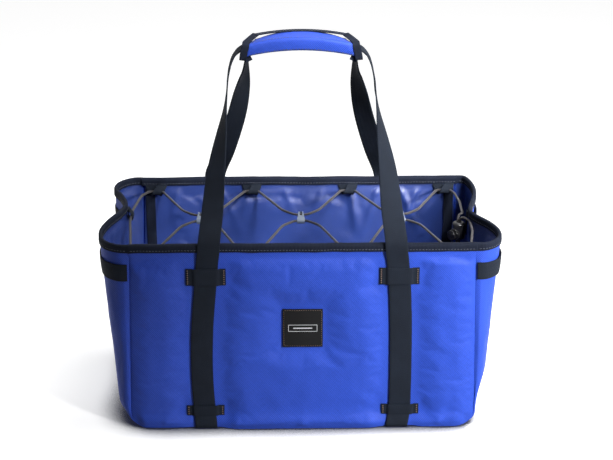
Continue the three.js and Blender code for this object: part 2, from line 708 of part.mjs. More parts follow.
// ---------- cord lock ----------

const lock = new THREE.Group();
lock.position.set(LOCK.x, LOCK.y, LOCK.z);
lock.rotation.z = LOCK.turn;
bag.add(lock);

// A round bar along the lock's own X.
function bar(radius, from, to, segments = 20) {
  const length = to - from;
  return new THREE.CylinderGeometry(radius, radius, length, segments).rotateZ(-Math.PI / 2).translate((from + to) / 2, 0, 0);
}

const bodyHeight = LOCK.above + LOCK.below;
const lockBody = new THREE.CylinderGeometry(LOCK.radius, LOCK.radius, bodyHeight, 24).rotateX(Math.PI / 2);
lockBody.translate(0, 0, (LOCK.above - LOCK.below) / 2);
const passage = block([-LOCK.slotX, -LOCK.slotY, -LOCK.below - 1], [LOCK.slotX, LOCK.slotY, LOCK.above + 1]);
add('lock_housing', cut(lockBody, bar(LOCK.bore, -LOCK.radius - 1, LOCK.boreEnd), passage), 'black_plastic', lock);

const stem = toManifold(bar(LOCK.plunger, LOCK.plungerFront, LOCK.plungerBack));
const flange = toManifold(bar(LOCK.flange, LOCK.plungerFront - LOCK.flangeThickness, LOCK.plungerFront + 0.2));
const plungerSlot = toManifold(block(
  [-LOCK.slotX - LOCK.travel, -LOCK.slotY, -LOCK.plunger - 1],
  [LOCK.slotX, LOCK.slotY, LOCK.plunger + 1],
));
add('lock_button', fromManifold(stem.add(flange).subtract(plungerSlot)), 'black_plastic', lock);

// The return spring stands between the plunger and the bore's blind end.
const SPRING = { wire: 0.35, radius: 3.1, turns: 3 };
const springFrom = LOCK.plungerBack + GAP + SPRING.wire;
const springTo = LOCK.boreEnd - GAP - SPRING.wire;
const springPath = [];
const springSteps = SPRING.turns * 10;
for (let i = 0; i <= springSteps; i++) {
  const angle = (i / springSteps) * SPRING.turns * Math.PI * 2;
  const x = THREE.MathUtils.lerp(springFrom, springTo, i / springSteps);
  springPath.push(new THREE.Vector3(x, SPRING.radius * Math.cos(angle), SPRING.radius * Math.sin(angle)));
}
const springFrames = springPath.map((origin, i) => {
  const angle = (i / springSteps) * SPRING.turns * Math.PI * 2;
  return { origin, across: X, up: new THREE.Vector3(0, Math.cos(angle), Math.sin(angle)) };
});
add('lock_spring', sweep(ring(SPRING.wire, 5), springFrames), 'spring_steel', lock);

export default bag;
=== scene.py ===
"""A basket tote bag of padded cloth, with webbing handles, a padded grip and a laced elastic cord.

Metres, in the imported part's frame: +X is the bag's right, +Y its back and +Z up.
"""

import math

import bmesh
import bpy
import numpy as np
from bpy.props import FloatProperty, FloatVectorProperty, IntProperty, PointerProperty
from mathutils import Matrix, Vector, noise


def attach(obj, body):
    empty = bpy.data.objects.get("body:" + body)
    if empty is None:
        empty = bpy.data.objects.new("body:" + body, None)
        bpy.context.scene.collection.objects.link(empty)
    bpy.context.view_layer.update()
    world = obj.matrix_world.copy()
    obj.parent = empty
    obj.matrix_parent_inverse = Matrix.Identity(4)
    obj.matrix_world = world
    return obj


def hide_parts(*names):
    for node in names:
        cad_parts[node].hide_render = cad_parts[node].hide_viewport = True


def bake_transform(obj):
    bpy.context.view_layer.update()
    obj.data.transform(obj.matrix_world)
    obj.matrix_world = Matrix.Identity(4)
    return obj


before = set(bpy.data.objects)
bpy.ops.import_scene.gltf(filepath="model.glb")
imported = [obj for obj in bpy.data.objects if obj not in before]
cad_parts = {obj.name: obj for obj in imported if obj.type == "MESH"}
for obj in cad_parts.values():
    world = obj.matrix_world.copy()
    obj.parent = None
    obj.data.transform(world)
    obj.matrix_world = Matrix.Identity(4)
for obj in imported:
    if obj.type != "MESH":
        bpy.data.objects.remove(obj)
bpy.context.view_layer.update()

bl_info = {
    "name": "Basket tote bag",
    "version": (1, 0, 0),
    "blender": (4, 5, 0),
    "location": "View3D > Sidebar > Basket bag",
    "description": "Builds a padded basket bag round its packed frame",
    "category": "Add Mesh",
}

MM = 0.001

# The bag's own plan, in metres.
BASE = 2.1 * MM  # the cloth stands on the two straps
RIM = 229 * MM
CORNER = 17 * MM  # radius of the panels' lower corners
PANEL_TOP = 396 * MM
PANEL_BOTTOM = 405 * MM
CLOTH_TOP = RIM - 1.5 * MM
WALL = 120 * MM  # outer face of the front and rear cloth, from the middle
LINING_WALL = 115 * MM
FOAM_TOP = 214 * MM
CORNER_SHARE = 0.12  # the share of the gusset's height that its bottom corner takes
GUSSET_HALF = 0.6 * MM
LOOP_XS = (-181 * MM, -60.5 * MM, 60.5 * MM, 181 * MM)
HOOK_XS = (-121 * MM, 0.0, 121 * MM)
LOOP_Y = 109.1 * MM
LOOP_Z = 214.2 * MM
GRIP_RADIUS = 200 * MM
GRIP_TOP = 438.5 * MM
LOCK = Vector((0.190, -0.001, 0.198))
LOCK_TURN = math.radians(43)
FRONT, REAR, LEFT, RIGHT = -1, 1, -1, 1
FACE = {FRONT: "front", REAR: "rear"}
HAND = {LEFT: "left", RIGHT: "right"}

# How far each gusset stands out of the line between the panels at the rim: (out, y).
PLEATS = {
    LEFT: np.array([
        (0, -118.1), (13, -117.1), (29, -103), (36, -72), (31.5, -40), (19, -4), (14, 22),
        (20, 50), (31, 82), (26, 105), (11, 117.1), (0, 118.1),
    ]) * MM,
    RIGHT: np.array([
        (0, -118.1), (13, -117.1), (26, -105), (31, -82), (24, -50), (8, -20), (5, -8),
        (9, 18), (16, 50), (18, 76), (15.5, 100), (9, 117.1), (0, 118.1),
    ]) * MM,
}

# How far open the pleats are: at a height over the base, and how they open from there to the rim.
PLEAT_OPENING = {LEFT: (0.42, 1.1, 30 * MM), RIGHT: (0.36, 1.15, 70 * MM)}

# The left half of each handle, from its fold up to the grip: (x, y, z, twist in degrees).
HANDLE_ROWS = {
    FRONT: [
        (-0.1106, -0.1212, 0.1908, 0), (-0.1098, -0.1212, 0.199, 0), (-0.109, -0.12125, 0.2072, 0),
        (-0.1085, -0.1216, 0.212, 0), (-0.1073, -0.1227, 0.221, 0), (-0.1064, -0.1222, 0.233, 2),
        (-0.1025, -0.101, 0.262, 14), (-0.098, -0.0775, 0.305, 40), (-0.0925, -0.058, 0.34, 66),
        (-0.0885, -0.043, 0.365, 84), (-0.086, -0.03, 0.383, 90), (-0.084, -0.017, 0.4, 90),
        (-0.081, -0.007, 0.412, 90), (-0.0768, -0.0016, 0.4206, 90),
    ],
    REAR: [
        (-0.1106, 0.1212, 0.1908, 0), (-0.1098, 0.1212, 0.199, 0), (-0.109, 0.12125, 0.2072, 0),
        (-0.1085, 0.1216, 0.212, 0), (-0.1073, 0.1227, 0.221, 0), (-0.1062, 0.1223, 0.233, 0),
        (-0.093, 0.095, 0.272, 8), (-0.077, 0.061, 0.329, 24), (-0.07, 0.039, 0.367, 46),
        (-0.0665, 0.021, 0.396, 74), (-0.0648, 0.009, 0.411, 88), (-0.062, 0.0025, 0.4202, 90),
    ],
}
ARCH_XS = {FRONT: (-0.07, -0.045, -0.02, 0), REAR: (-0.055, -0.038, -0.018, 0)}


# Soft folds in the panels: (x, z, x, z, width, height), from where each is sharpest.
PANEL_CREASES = [(a * MM, b * MM, c * MM, d * MM, w * MM, h * MM) for a, b, c, d, w, h in (
    (-196, 214, -168, 196, 5, -1.6), (-194, 205, -176, 176, 6, 1.2), (196, 214, 170, 198, 6, -1.7),
    (190, 208, 150, 207, 5, 1.3), (-88, 196, -60, 210, 5, 1.3), (-88, 188, -58, 176, 6, -1.1),
    (-86, 180, -40, 150, 8, 0.9), (86, 198, 62, 212, 5, 1.4), (134, 200, 150, 213, 5, 1.5),
    (88, 186, 64, 172, 7, -1.0), (-26, 104, -70, 60, 9, 1.0), (26, 104, 72, 64, 9, 1.0),
    (26, 150, 70, 172, 9, 0.9), (-26, 150, -62, 168, 8, 0.8), (-137, 28, -176, 52, 8, 1.3),
    (-92, 26, -50, 48, 8, 1.2), (92, 26, 52, 46, 8, 1.1), (137, 28, 178, 50, 8, 1.3),
    (-160, 12, -150, 44, 7, 1.1), (160, 12, 168, 46, 7, 1.1), (0, 10, 6, 52, 10, 0.9),
)]


class BagSizes(bpy.types.PropertyGroup):
    """Sizes of the soft pieces that a user may change."""

    padding: FloatProperty(
        name="Padding", description="How far the padded panels crown between the straps",
        default=4.2 * MM, min=0, max=7 * MM, unit="LENGTH",
    )
    rumple: FloatProperty(
        name="Rumple", description="Height of the uneven cloth between the seams",
        default=1.0 * MM, min=0, max=3 * MM, unit="LENGTH",
    )
    cloth: FloatProperty(
        name="Cloth", description="Thickness of the outer cloth", default=0.9 * MM, unit="LENGTH",
    )
    lining: FloatProperty(
        name="Lining", description="Thickness of the lining", default=0.5 * MM, unit="LENGTH",
    )
    webbing_width: FloatProperty(
        name="Webbing width", description="Width of the straps", default=25.4 * MM, unit="LENGTH",
    )
    webbing: FloatProperty(
        name="Webbing", description="Thickness of the straps", default=1.7 * MM, unit="LENGTH",
    )
    tape: FloatProperty(
        name="Tape", description="Thickness of the binding tape", default=1.0 * MM, unit="LENGTH",
    )
    cord: FloatProperty(
        name="Cord", description="Diameter of the elastic cord", default=3.0 * MM, unit="LENGTH",
    )
    thread: FloatProperty(
        name="Thread", description="Width of a sewn stitch", default=0.62 * MM, unit="LENGTH",
    )
    stitch_pitch: FloatProperty(
        name="Stitch pitch", description="From one stitch to the next", default=3.6 * MM, unit="LENGTH",
    )
    mesh_step: FloatProperty(
        name="Mesh step", description="Side of one face of the cloth", default=2.6 * MM, unit="LENGTH",
    )
    settle_frames: IntProperty(
        name="Settle frames", description="Frames for which the padded cloth settles", default=20, min=1,
    )


def colour(name, description, value):
    return FloatVectorProperty(name=name, description=description, subtype="COLOR", size=3,
                               min=0, max=1, default=value)


class BagColours(bpy.types.PropertyGroup):
    """Colours of the bag's cloths, tapes and fittings."""

    outer: colour("Outer cloth", "Woven outer cloth", (0.018, 0.058, 0.41))
    lining: colour("Lining", "Coated lining", (0.018, 0.039, 0.18))
    webbing: colour("Webbing", "Straps, keepers and loops", (0.0095, 0.013, 0.021))
    tape: colour("Binding tape", "Rim and seam tape", (0.0082, 0.011, 0.021))
    thread: colour("Thread", "Stitches on the tape", (0.055, 0.062, 0.085))
    tack: colour("Tack thread", "Bar tacks at the keepers' ends", (0.12, 0.07, 0.047))
    leather: colour("Leather", "Patch on the front", (0.0055, 0.0055, 0.006))
    cord: colour("Cord", "Braided cover of the elastic cord", (0.015, 0.012, 0.0145))
    hook: colour("Hooks", "Moulded cord hooks", (0.10, 0.125, 0.17))
    lock: colour("Lock", "Cord lock", (0.012, 0.012, 0.014))


# ---------- shader maths ----------


class Shade:
    """One output of a shader node. Python's arithmetic on it adds Math nodes."""

    def __init__(self, finish, socket):
        self.finish, self.socket = finish, socket

    def math(self, operation, *values):
        inputs = dict(enumerate(values))
        return self.finish.node("ShaderNodeMath", {"operation": operation}, inputs)

    def __add__(self, other):
        return self.math("ADD", self, other)

    __radd__ = __add__

    def __mul__(self, other):
        return self.math("MULTIPLY", self, other)

    __rmul__ = __mul__

    def __sub__(self, other):
        return self.math("SUBTRACT", self, other)

    def __rsub__(self, other):
        return self.math("SUBTRACT", other, self)

    def __truediv__(self, other):
        return self.math("DIVIDE", self, other)

    def __mod__(self, other):
        return self.math("FLOORED_MODULO", self, other)

    def sine(self):
        return self.math("SINE", self)

    def size(self):
        return self.math("ABSOLUTE", self)

    def held(self, low, high):
        """The value kept between two limits."""
        return self.math("MINIMUM", self.math("MAXIMUM", self, low), high)


class Finish:
    """A procedural material in the making."""

    def __init__(self, name, colour, roughness, **constants):
        self.material = bpy.data.materials.new(name)
        self.material.use_nodes = True
        self.material.diffuse_color = (*colour, 1)
        self.tree = self.material.node_tree
        self.shader = self.tree.nodes["Principled BSDF"]
        self.colour = (*colour, 1)
        self.shader.inputs["Base Color"].default_value = self.colour
        self.shader.inputs["Roughness"].default_value = roughness
        for socket, value in constants.items():
            self.shader.inputs[socket.replace("_", " ")].default_value = value

    def node(self, kind, settings=None, inputs=None, output=0):
        """Adds any node: its settings first, then the values or links of its sockets."""
        made = self.tree.nodes.new(kind)
        for key, value in (settings or {}).items():
            setattr(made, key, value)
        for key, value in (inputs or {}).items():
            if isinstance(value, Shade):
                self.tree.links.new(value.socket, made.inputs[key])
            else:
                made.inputs[key].default_value = value
        return Shade(self, made.outputs[output])

    def place(self, which="UV"):
        """The three coordinates of a point of the surface: its UV map, or Object."""
        point = self.node("ShaderNodeTexCoord", output=which)
        return [self.node("ShaderNodeSeparateXYZ", inputs={0: point}, output=i) for i in range(3)]

    def noise(self, scale, detail=2.0, which="Object"):
        point = self.node("ShaderNodeTexCoord", output=which)
        inputs = {"Vector": point, "Scale": scale, "Detail": detail}
        return self.node("ShaderNodeTexNoise", {"normalize": True}, inputs)

    def mix(self, share, a, b):
        """Colour a where share is 0, and b where it is 1."""
        return self.node("ShaderNodeMix", {"data_type": "RGBA"}, {0: share, 6: a, 7: b}, 2)

    def shaded(self, share, dark, light):
        """The finish's own colour times a number that runs from dark to light."""
        rgb = self.colour[:3]
        ends = [(*[min(1, c * k) for c in rgb], 1) for k in (dark, light)]
        return self.mix(share, *ends)

    def set(self, socket, value):
        self.tree.links.new(value.socket, self.shader.inputs[socket])

    def bump(self, height, distance, strength=1.0):
        inputs = {"Height": height, "Distance": distance, "Strength": strength}
        self.set("Normal", self.node("ShaderNodeBump", inputs=inputs))


def checks(u, v, pitch):
    """A plain weave's checks, from -1 to 1, one thread to a pitch."""
    return (u * (math.pi / pitch)).sine() * (v * (math.pi / pitch)).sine()


def woven_cloth(name, colour, pitch, roughness, weave, **constants):
    """Closely woven cloth: each thread stands up a little, and every few threads one is paler."""
    cloth = Finish(name, colour, roughness, **constants)
    u, v, _ = cloth.place()
    weft = checks(u, v, pitch)
    broad = cloth.noise(16, 3)
    fine = cloth.noise(420, 2)
    lines = ((u + v) * (2 * math.pi / (2.35 * MM))).sine() * ((u - v) * (math.pi / (2.9 * MM))).sine().size()
    shade = 0.5 + weft * weave + lines * weave * 1.5 + (broad - 0.5) * 0.5 + (fine - 0.5) * 0.35
    cloth.set("Base Color", cloth.shaded(shade.held(0, 1), 0.6, 1.4))
    cloth.set("Roughness", (roughness - 0.06 + broad * 0.12).held(0, 1))
    cloth.bump(weft.size() * 0.6 + lines * 0.5 + fine * 0.4, 0.16 * MM, 0.8)
    return cloth.material


def twill(name, colour, rib, roughness, **constants):
    """Heavy webbing: diagonal ribs that turn back down its middle."""
    web = Finish(name, colour, roughness, **constants)
    u, v, _ = web.place()
    lean = (u / (5.0 * MM) % 1.0 - 0.5).size() * (10.0 * MM)
    ribs = ((v + lean) * (2 * math.pi / rib)).sine()
    threads = (u * (math.pi / (0.55 * MM))).sine()
    wear = web.noise(60, 4)
    shade = 0.45 + ribs * 0.34 + threads * 0.2 + (wear - 0.5) * 0.8
    web.set("Base Color", web.shaded(shade.held(0, 1), 0.62, 1.5))
    web.set("Roughness", (roughness - 0.08 + wear * 0.16).held(0, 1))
    web.bump(ribs * 0.5 + threads * 0.3 + wear * 0.3, 0.22 * MM, 0.8)
    return web.material


def grosgrain(name, colour, rib, roughness, **constants):
    """Thin tape with fine ribs across it."""
    tape = Finish(name, colour, roughness, **constants)
    u, v, _ = tape.place()
    ribs = (v * (2 * math.pi / rib)).sine()
    threads = checks(u, v, 0.7 * MM)
    wear = tape.noise(80, 4)
    shade = 0.45 + ribs * 0.2 + threads * 0.1 + (wear - 0.5) * 0.9
    tape.set("Base Color", tape.shaded(shade.held(0, 1), 0.6, 1.6))
    tape.set("Roughness", (roughness - 0.08 + wear * 0.16).held(0, 1))
    tape.bump(ribs * 0.6 + threads * 0.2 + wear * 0.2, 0.2 * MM, 0.8)
    return tape.material


def spun_thread(name, colour):
    """Sewing thread, twisted and a little fuzzy."""
    thread = Finish(name, colour, 0.7, Sheen_Weight=0.2)
    fuzz = thread.noise(900, 3)
    thread.set("Base Color", thread.shaded(fuzz, 0.6, 1.5))
    thread.bump(fuzz, 0.1 * MM)
    return thread.material


def grained_leather(name, colour):
    """Fine-grained leather: pebbles with creases between, and duller where it is rubbed."""
    hide = Finish(name, colour, 0.55, Specular_IOR_Level=0.12)
    point = hide.node("ShaderNodeTexCoord", output="Object")
    settings = {"feature": "DISTANCE_TO_EDGE"}
    cells = hide.node("ShaderNodeTexVoronoi", settings, {"Vector": point, "Scale": 900.0})
    grain = (cells * 5.0).held(0, 1)
    rubbed = hide.noise(70, 4)
    hide.set("Base Color", hide.shaded(grain * 0.4 + rubbed * 0.6, 0.7, 1.5))
    hide.set("Roughness", 0.44 + rubbed * 0.24)
    hide.bump(grain * 0.6 + rubbed * 0.4, 0.12 * MM, 0.6)
    return hide.material


def braided(name, colour):
    """The braided cover of an elastic cord, with paler flecks."""
    cover = Finish(name, colour, 0.62, Sheen_Weight=0.15)
    u, v, _ = cover.place()
    strands = checks(u + v, u - v, 1.1 * MM)
    fleck = cover.noise(700, 2)
    shade = 0.4 + strands * 0.35 + (fleck - 0.5) * 0.6
    cover.set("Base Color", cover.shaded(shade.held(0, 1), 0.5, 1.9))
    cover.bump(strands.size() + fleck * 0.3, 0.16 * MM, 0.8)
    return cover.material


def moulded(name, colour, roughness, **constants):
    """Moulded plastic with a faint texture from its tool and fine rubbed marks."""
    plastic = Finish(name, colour, roughness, **constants)
    orange_peel = plastic.noise(1400, 2)
    rubbed = plastic.noise(180, 4)
    plastic.set("Base Color", plastic.shaded(rubbed, 0.85, 1.2))
    plastic.set("Roughness", roughness - 0.08 + rubbed * 0.16)
    plastic.bump(orange_peel, 0.03 * MM, 0.5)
    return plastic.material


def drawn_wire(name, colour):
    """Bright spring wire with fine lines along it."""
    wire = Finish(name, colour, 0.28, Metallic=1.0)
    lines = wire.noise(2500, 2)
    wire.set("Roughness", 0.2 + lines * 0.2)
    wire.bump(lines, 0.02 * MM, 0.4)
    return wire.material


def pile(name, colour):
    """Hook-and-loop tape: a dense short pile."""
    tape = Finish(name, colour, 0.95, Sheen_Weight=0.3)
    tufts = tape.noise(1300, 3)
    tape.set("Base Color", tape.shaded(tufts, 0.5, 1.8))
    tape.bump(tufts, 0.6 * MM)
    return tape.material


def cell_foam(name, colour):
    """Closed-cell foam, with its skin pricked by small cells."""
    foam = Finish(name, colour, 0.95)
    cells = foam.noise(800, 2)
    foam.set("Base Color", foam.shaded(cells, 0.85, 1.05))
    foam.bump(cells, 0.3 * MM)
    return foam.material


def make_finishes():
    c = bpy.context.scene.bag_colours
    return {
        "outer": woven_cloth("outer cloth", c.outer, 0.95 * MM, 0.6, 0.5,
                             Specular_IOR_Level=0.25),
        "lining": woven_cloth("coated lining", c.lining, 0.6 * MM, 0.34, 0.1,
                              Coat_Weight=0.5, Coat_Roughness=0.32),
        "webbing": twill("strap webbing", c.webbing, 2.1 * MM, 0.75, Specular_IOR_Level=0.1),
        "tape": grosgrain("binding tape", c.tape, 1.5 * MM, 0.75, Specular_IOR_Level=0.09),
        "thread": spun_thread("sewing thread", c.thread),
        "tack": spun_thread("bar tack thread", c.tack),
        "leather": grained_leather("patch leather", c.leather),
        "cord": braided("elastic cover", c.cord),
        "hook": moulded("hook plastic", c.hook, 0.42),
        "lock": moulded("lock plastic", c.lock, 0.3),
        "wire": drawn_wire("spring wire", (0.55, 0.55, 0.57)),
        "pile": pile("closure pile", (0.015, 0.016, 0.022)),
        "foam": cell_foam("padding foam", (0.66, 0.66, 0.63)),
        "board": moulded("stiffener board", (0.03, 0.03, 0.033), 0.75),
        "print": spun_thread("pale print", (0.45, 0.46, 0.48)),
    }


# ---------- modelling helpers ----------


def deselect():
    if bpy.context.object and bpy.context.object.mode != "OBJECT":
        bpy.ops.object.mode_set(mode="OBJECT")
    bpy.ops.object.select_all(action="DESELECT")


def take(obj):
    """Makes obj the one selected and active object."""
    deselect()
    obj.select_set(True)
    bpy.context.view_layer.objects.active = obj
    return obj


def named(name):
    obj = bpy.context.object
    obj.name = obj.data.name = name
    return obj


def cloth_grid(name, us, vs, place, flat=None):
    """A grid primitive whose points are carried to place(u, v). Its UV map is flat(u, v), in metres."""
    deselect()
    columns, rows = len(us), len(vs)
    bpy.ops.mesh.primitive_grid_add(x_subdivisions=columns - 1, y_subdivisions=rows - 1, size=2)
    obj = named(name)
    mesh = obj.data
    start = np.zeros(len(mesh.vertices) * 3, np.float32)
    mesh.vertices.foreach_get("co", start)
    start = start.reshape(-1, 3)
    i = np.rint((start[:, 0] + 1) / 2 * (columns - 1)).astype(int)
    j = np.rint((start[:, 1] + 1) / 2 * (rows - 1)).astype(int)
    u, v = np.asarray(us)[i], np.asarray(vs)[j]
    points = np.asarray(place(u, v), float)
    mesh.vertices.foreach_set("co", points.astype(np.float32).ravel())
    cut = np.stack(flat(u, v), 1) if flat else np.stack([points[:, 0], points[:, 2]], 1)
    corner = np.zeros(len(mesh.loops), np.int32)
    mesh.loops.foreach_get("vertex_index", corner)
    layer = mesh.uv_layers.active or mesh.uv_layers.new(name="UVMap")
    layer.data.foreach_set("uv", cut[corner].astype(np.float32).ravel())
    mesh.update()
    return obj


def apply_modifier(obj, kind, **settings):
    take(obj)
    modifier = obj.modifiers.new(kind.title(), kind)
    for key, value in settings.items():
        setattr(modifier, key, value)
    bpy.ops.object.modifier_apply(modifier=modifier.name)
    return obj


def thicken(obj, thickness, offset=0.0, soft=0.0, group=""):
    """Gives a sheet its thickness, and rounds its edges by soft."""
    apply_modifier(obj, "SOLIDIFY", thickness=thickness, offset=offset, vertex_group=group,
                   thickness_vertex_group=0.25 if group else 0.0)
    if soft:
        apply_modifier(obj, "BEVEL", width=soft, segments=2, limit_method="ANGLE",
                       angle_limit=math.radians(55))
    take(obj)
    bpy.ops.object.shade_smooth_by_angle(angle=math.radians(60))
    return obj


def close_tube(obj):
    """Joins a grid's first and last columns and fills its two open ends."""
    take(obj)
    bpy.ops.object.mode_set(mode="EDIT")
    bpy.ops.mesh.select_all(action="SELECT")
    bpy.ops.mesh.remove_doubles(threshold=1e-6)
    bpy.ops.mesh.select_all(action="DESELECT")
    bpy.ops.mesh.select_mode(type="EDGE")
    bpy.ops.mesh.select_non_manifold()
    bpy.ops.mesh.fill_holes(sides=0)
    bpy.ops.mesh.select_all(action="SELECT")
    bpy.ops.mesh.normals_make_consistent(inside=False)
    bpy.ops.object.mode_set(mode="OBJECT")
    bpy.ops.object.shade_smooth_by_angle(angle=math.radians(60))
    return obj


def through(points, per_span=10):
    """A smooth line through the points (centripetal Catmull-Rom): per_span samples to a span."""
    p = np.array(points, float)
    p = np.vstack([2 * p[0] - p[1], p, 2 * p[-1] - p[-2]])
    made = []
    for i in range(1, len(p) - 2):
        knots = [0.0]
        for a, b in zip(p[i - 1 : i + 2], p[i : i + 3]):
            knots.append(knots[-1] + max(np.linalg.norm((b - a)[:3]), 1e-9) ** 0.5)
        t0, t1, t2, t3 = knots
        last = i == len(p) - 3
        t = np.linspace(t1, t2, per_span + 1)[: per_span + last][:, None]
        a1 = (t1 - t) / (t1 - t0) * p[i - 1] + (t - t0) / (t1 - t0) * p[i]
        a2 = (t2 - t) / (t2 - t1) * p[i] + (t - t1) / (t2 - t1) * p[i + 1]
        a3 = (t3 - t) / (t3 - t2) * p[i + 1] + (t - t2) / (t3 - t2) * p[i + 2]
        b1 = (t2 - t) / (t2 - t0) * a1 + (t - t0) / (t2 - t0) * a2
        b2 = (t3 - t) / (t3 - t1) * a2 + (t - t1) / (t3 - t1) * a3
        made.append((t2 - t) / (t2 - t1) * b1 + (t - t1) / (t2 - t1) * b2)
    return np.vstack(made)


def run_length(line):
    """How far along a line each of its points is."""
    return np.concatenate([[0], np.cumsum(np.linalg.norm(np.diff(line[:, :3], axis=0), axis=1))])


def evenly(line, count):
    """count points spread evenly along a line."""
    along = run_length(line)
    at = np.linspace(0, along[-1], count)
    return np.stack([np.interp(at, along, line[:, k]) for k in range(line.shape[1])], 1)


def unit(vectors):
    return vectors / np.maximum(np.linalg.norm(vectors, axis=-1, keepdims=True), 1e-12)


def smooth(t):
    t = np.clip(t, 0, 1)
    return t * t * (3 - 2 * t)


def mirrored(rows):
    """The left half's rows, then the right half's, for a line that crosses the middle."""
    left = np.array(rows, float)
    right = left[::-1] * np.array([-1] + [1] * (left.shape[1] - 1))
    if left.shape[1] == 4:
        right[:, 3] = 180 - left[::-1][:, 3]
    return np.vstack([left, right[1:] if abs(left[-1][0]) < 1e-9 else right])


def rumple(points, scale, seed):
    """Smooth unevenness from about -1 to 1, the same each time, at points of the cloth."""
    shift = Vector((seed * 3.7, seed * 5.1, seed * 2.3))
    return np.array([noise.fractal(Vector(p) / scale + shift, 1.0, 2.0, 3) for p in points])


def creases(x, z, lines):
    """Height of soft folds at (x, z). A fold is (x0, z0, x1, z1, width, height)."""
    total = np.zeros_like(x)
    for x0, z0, x1, z1, width, height in lines:
        dx, dz = x1 - x0, z1 - z0
        length = math.hypot(dx, dz)
        along = ((x - x0) * dx + (z - z0) * dz) / length**2
        aside = ((x - x0) * dz - (z - z0) * dx) / length
        t = np.clip(along, 0, 1)
        spread = width * (0.6 + 0.8 * t)
        beyond = np.maximum(np.abs(along - t) * length, 0)
        total += height * np.exp(-((aside / spread) ** 2) - (beyond / width) ** 2) * (1 - t) ** 0.7
    return total


def ribbon(name, rows, side, width, thickness, step=3 * MM, crown=0.0):
    """Flat webbing through rows of (x, y, z, twist). At 0 of twist its width lies along +X, at 90
    along side and at 180 along -X."""
    line = through(rows)
    count = max(8, int(run_length(line)[-1] / step))
    line = evenly(line, count)
    along = run_length(line)
    tangent = unit(np.gradient(line[:, :3], axis=0))
    twist = np.radians(line[:, 3])[:, None]
    across = np.cos(twist) * np.array([1.0, 0, 0]) + np.sin(twist) * np.array(side, float)
    across = unit(across - (across * tangent).sum(1)[:, None] * tangent)
    up = np.cross(tangent, across)

    def place(u, v):
        k = np.rint(v).astype(int)
        bow = crown * (1 - (2 * u) ** 2)
        return line[k, :3] + across[k] * (u * width)[:, None] + up[k] * bow[:, None]

    def flat(u, v):
        return u * width, along[np.rint(v).astype(int)]

    obj = cloth_grid(name, np.linspace(-0.5, 0.5, 9), np.arange(count), place, flat)
    return thicken(obj, thickness, 0, 0.35 * MM)


def tube(name, line, radius, sides=10, closed=False):
    """A round cord along a line. Its UV map runs round it, then along it, in metres."""
    line = np.asarray(line, float)
    if closed:
        line = np.vstack([line, line[:1]])
    along = run_length(line)
    tangent = unit(np.gradient(line, axis=0))
    if closed:
        tangent[0] = tangent[-1] = unit(line[1] - line[-2])
    up = np.zeros_like(line)
    first = np.cross(tangent[0], (0.31, 0.95, 0.07))
    up[0] = unit(first)
    for i in range(1, len(line)):
        turned = up[i - 1] - up[i - 1] @ tangent[i] * tangent[i]
        up[i] = unit(turned)
    across = np.cross(tangent, up)

    def place(u, v):
        k = np.rint(v).astype(int)
        angle = u * 2 * math.pi
        ring = up[k] * np.cos(angle)[:, None] + across[k] * np.sin(angle)[:, None]
        return line[k] + ring * radius

    def flat(u, v):
        return u * 2 * math.pi * radius, along[np.rint(v).astype(int)]

    obj = cloth_grid(name, np.linspace(0, 1, sides + 1), np.arange(len(line)), place, flat)
    return close_tube(obj)


def stitches(name, runs, length=None, width=None, pitch=None):
    """Sewn stitches along runs of (line, normals): one modelled, then copied along each run."""
    sizes = bpy.context.scene.bag_sizes
    pitch = pitch or sizes.stitch_pitch
    length = length or pitch * 0.66
    width = width or sizes.thread
    deselect()
    bpy.ops.mesh.primitive_uv_sphere_add(segments=6, ring_count=5, radius=0.5)
    one = named(name)
    bpy.ops.object.mode_set(mode="EDIT")
    bpy.ops.mesh.select_all(action="SELECT")
    bpy.ops.transform.rotate(value=math.pi / 2, orient_axis="Y", center_override=(0, 0, 0))
    bpy.ops.transform.resize(value=(length, width, width * 0.8))
    bpy.ops.object.mode_set(mode="OBJECT")
    shape = bmesh.new()
    for line, normals in runs:
        line, normals = np.asarray(line, float), np.asarray(normals, float)
        along = run_length(line)
        count = max(1, int(along[-1] / pitch))
        at = (np.arange(count) + 0.5) * along[-1] / count
        tangents = unit(np.gradient(line, axis=0)) if len(line) > 1 else line * 0 + (1, 0, 0)
        for s in at:
            origin, ahead, out = (
                np.array([np.interp(s, along, grid[:, k]) for k in range(3)])
                for grid in (line, tangents, normals)
            )
            ahead = unit(ahead)
            out = unit(out - out @ ahead * ahead)
            turn = Matrix((ahead, np.cross(out, ahead), out)).transposed().to_4x4()
            first = len(shape.verts)
            shape.from_mesh(one.data)
            shape.verts.ensure_lookup_table()
            bmesh.ops.transform(shape, matrix=Matrix.Translation(origin) @ turn,
                                verts=shape.verts[first:])
    shape.to_mesh(one.data)
    shape.free()
    take(one)
    bpy.ops.object.shade_smooth()
    return one


def fit(obj, body, slot, finish, *stands_for):
    """Gives a finished piece its material, its body and the CAD nodes it stands for. Its slot is not used."""
    obj.data.materials.clear()
    obj.data.materials.append(FINISHES[finish])
    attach(obj, body)
    if stands_for:
        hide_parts(*stands_for)
    return obj


FINISHES = {}


def coordinates(obj):
    co = np.zeros(len(obj.data.vertices) * 3, np.float32)
    obj.data.vertices.foreach_get("co", co)
    return co.reshape(-1, 3).astype(float)


def move_points(obj, points):
    obj.data.vertices.foreach_set("co", points.astype(np.float32).ravel())
    obj.data.update()
    return obj


def face_towards(obj, direction):
    """Turns a sheet's faces so that on the whole they look along direction."""
    facing = sum((p.normal * p.area for p in obj.data.polygons), Vector())
    if facing.dot(Vector(direction)) < 0:
        take(obj)
        bpy.ops.object.mode_set(mode="EDIT")
        bpy.ops.mesh.select_all(action="SELECT")
        bpy.ops.mesh.flip_normals()
        bpy.ops.object.mode_set(mode="OBJECT")
    return obj


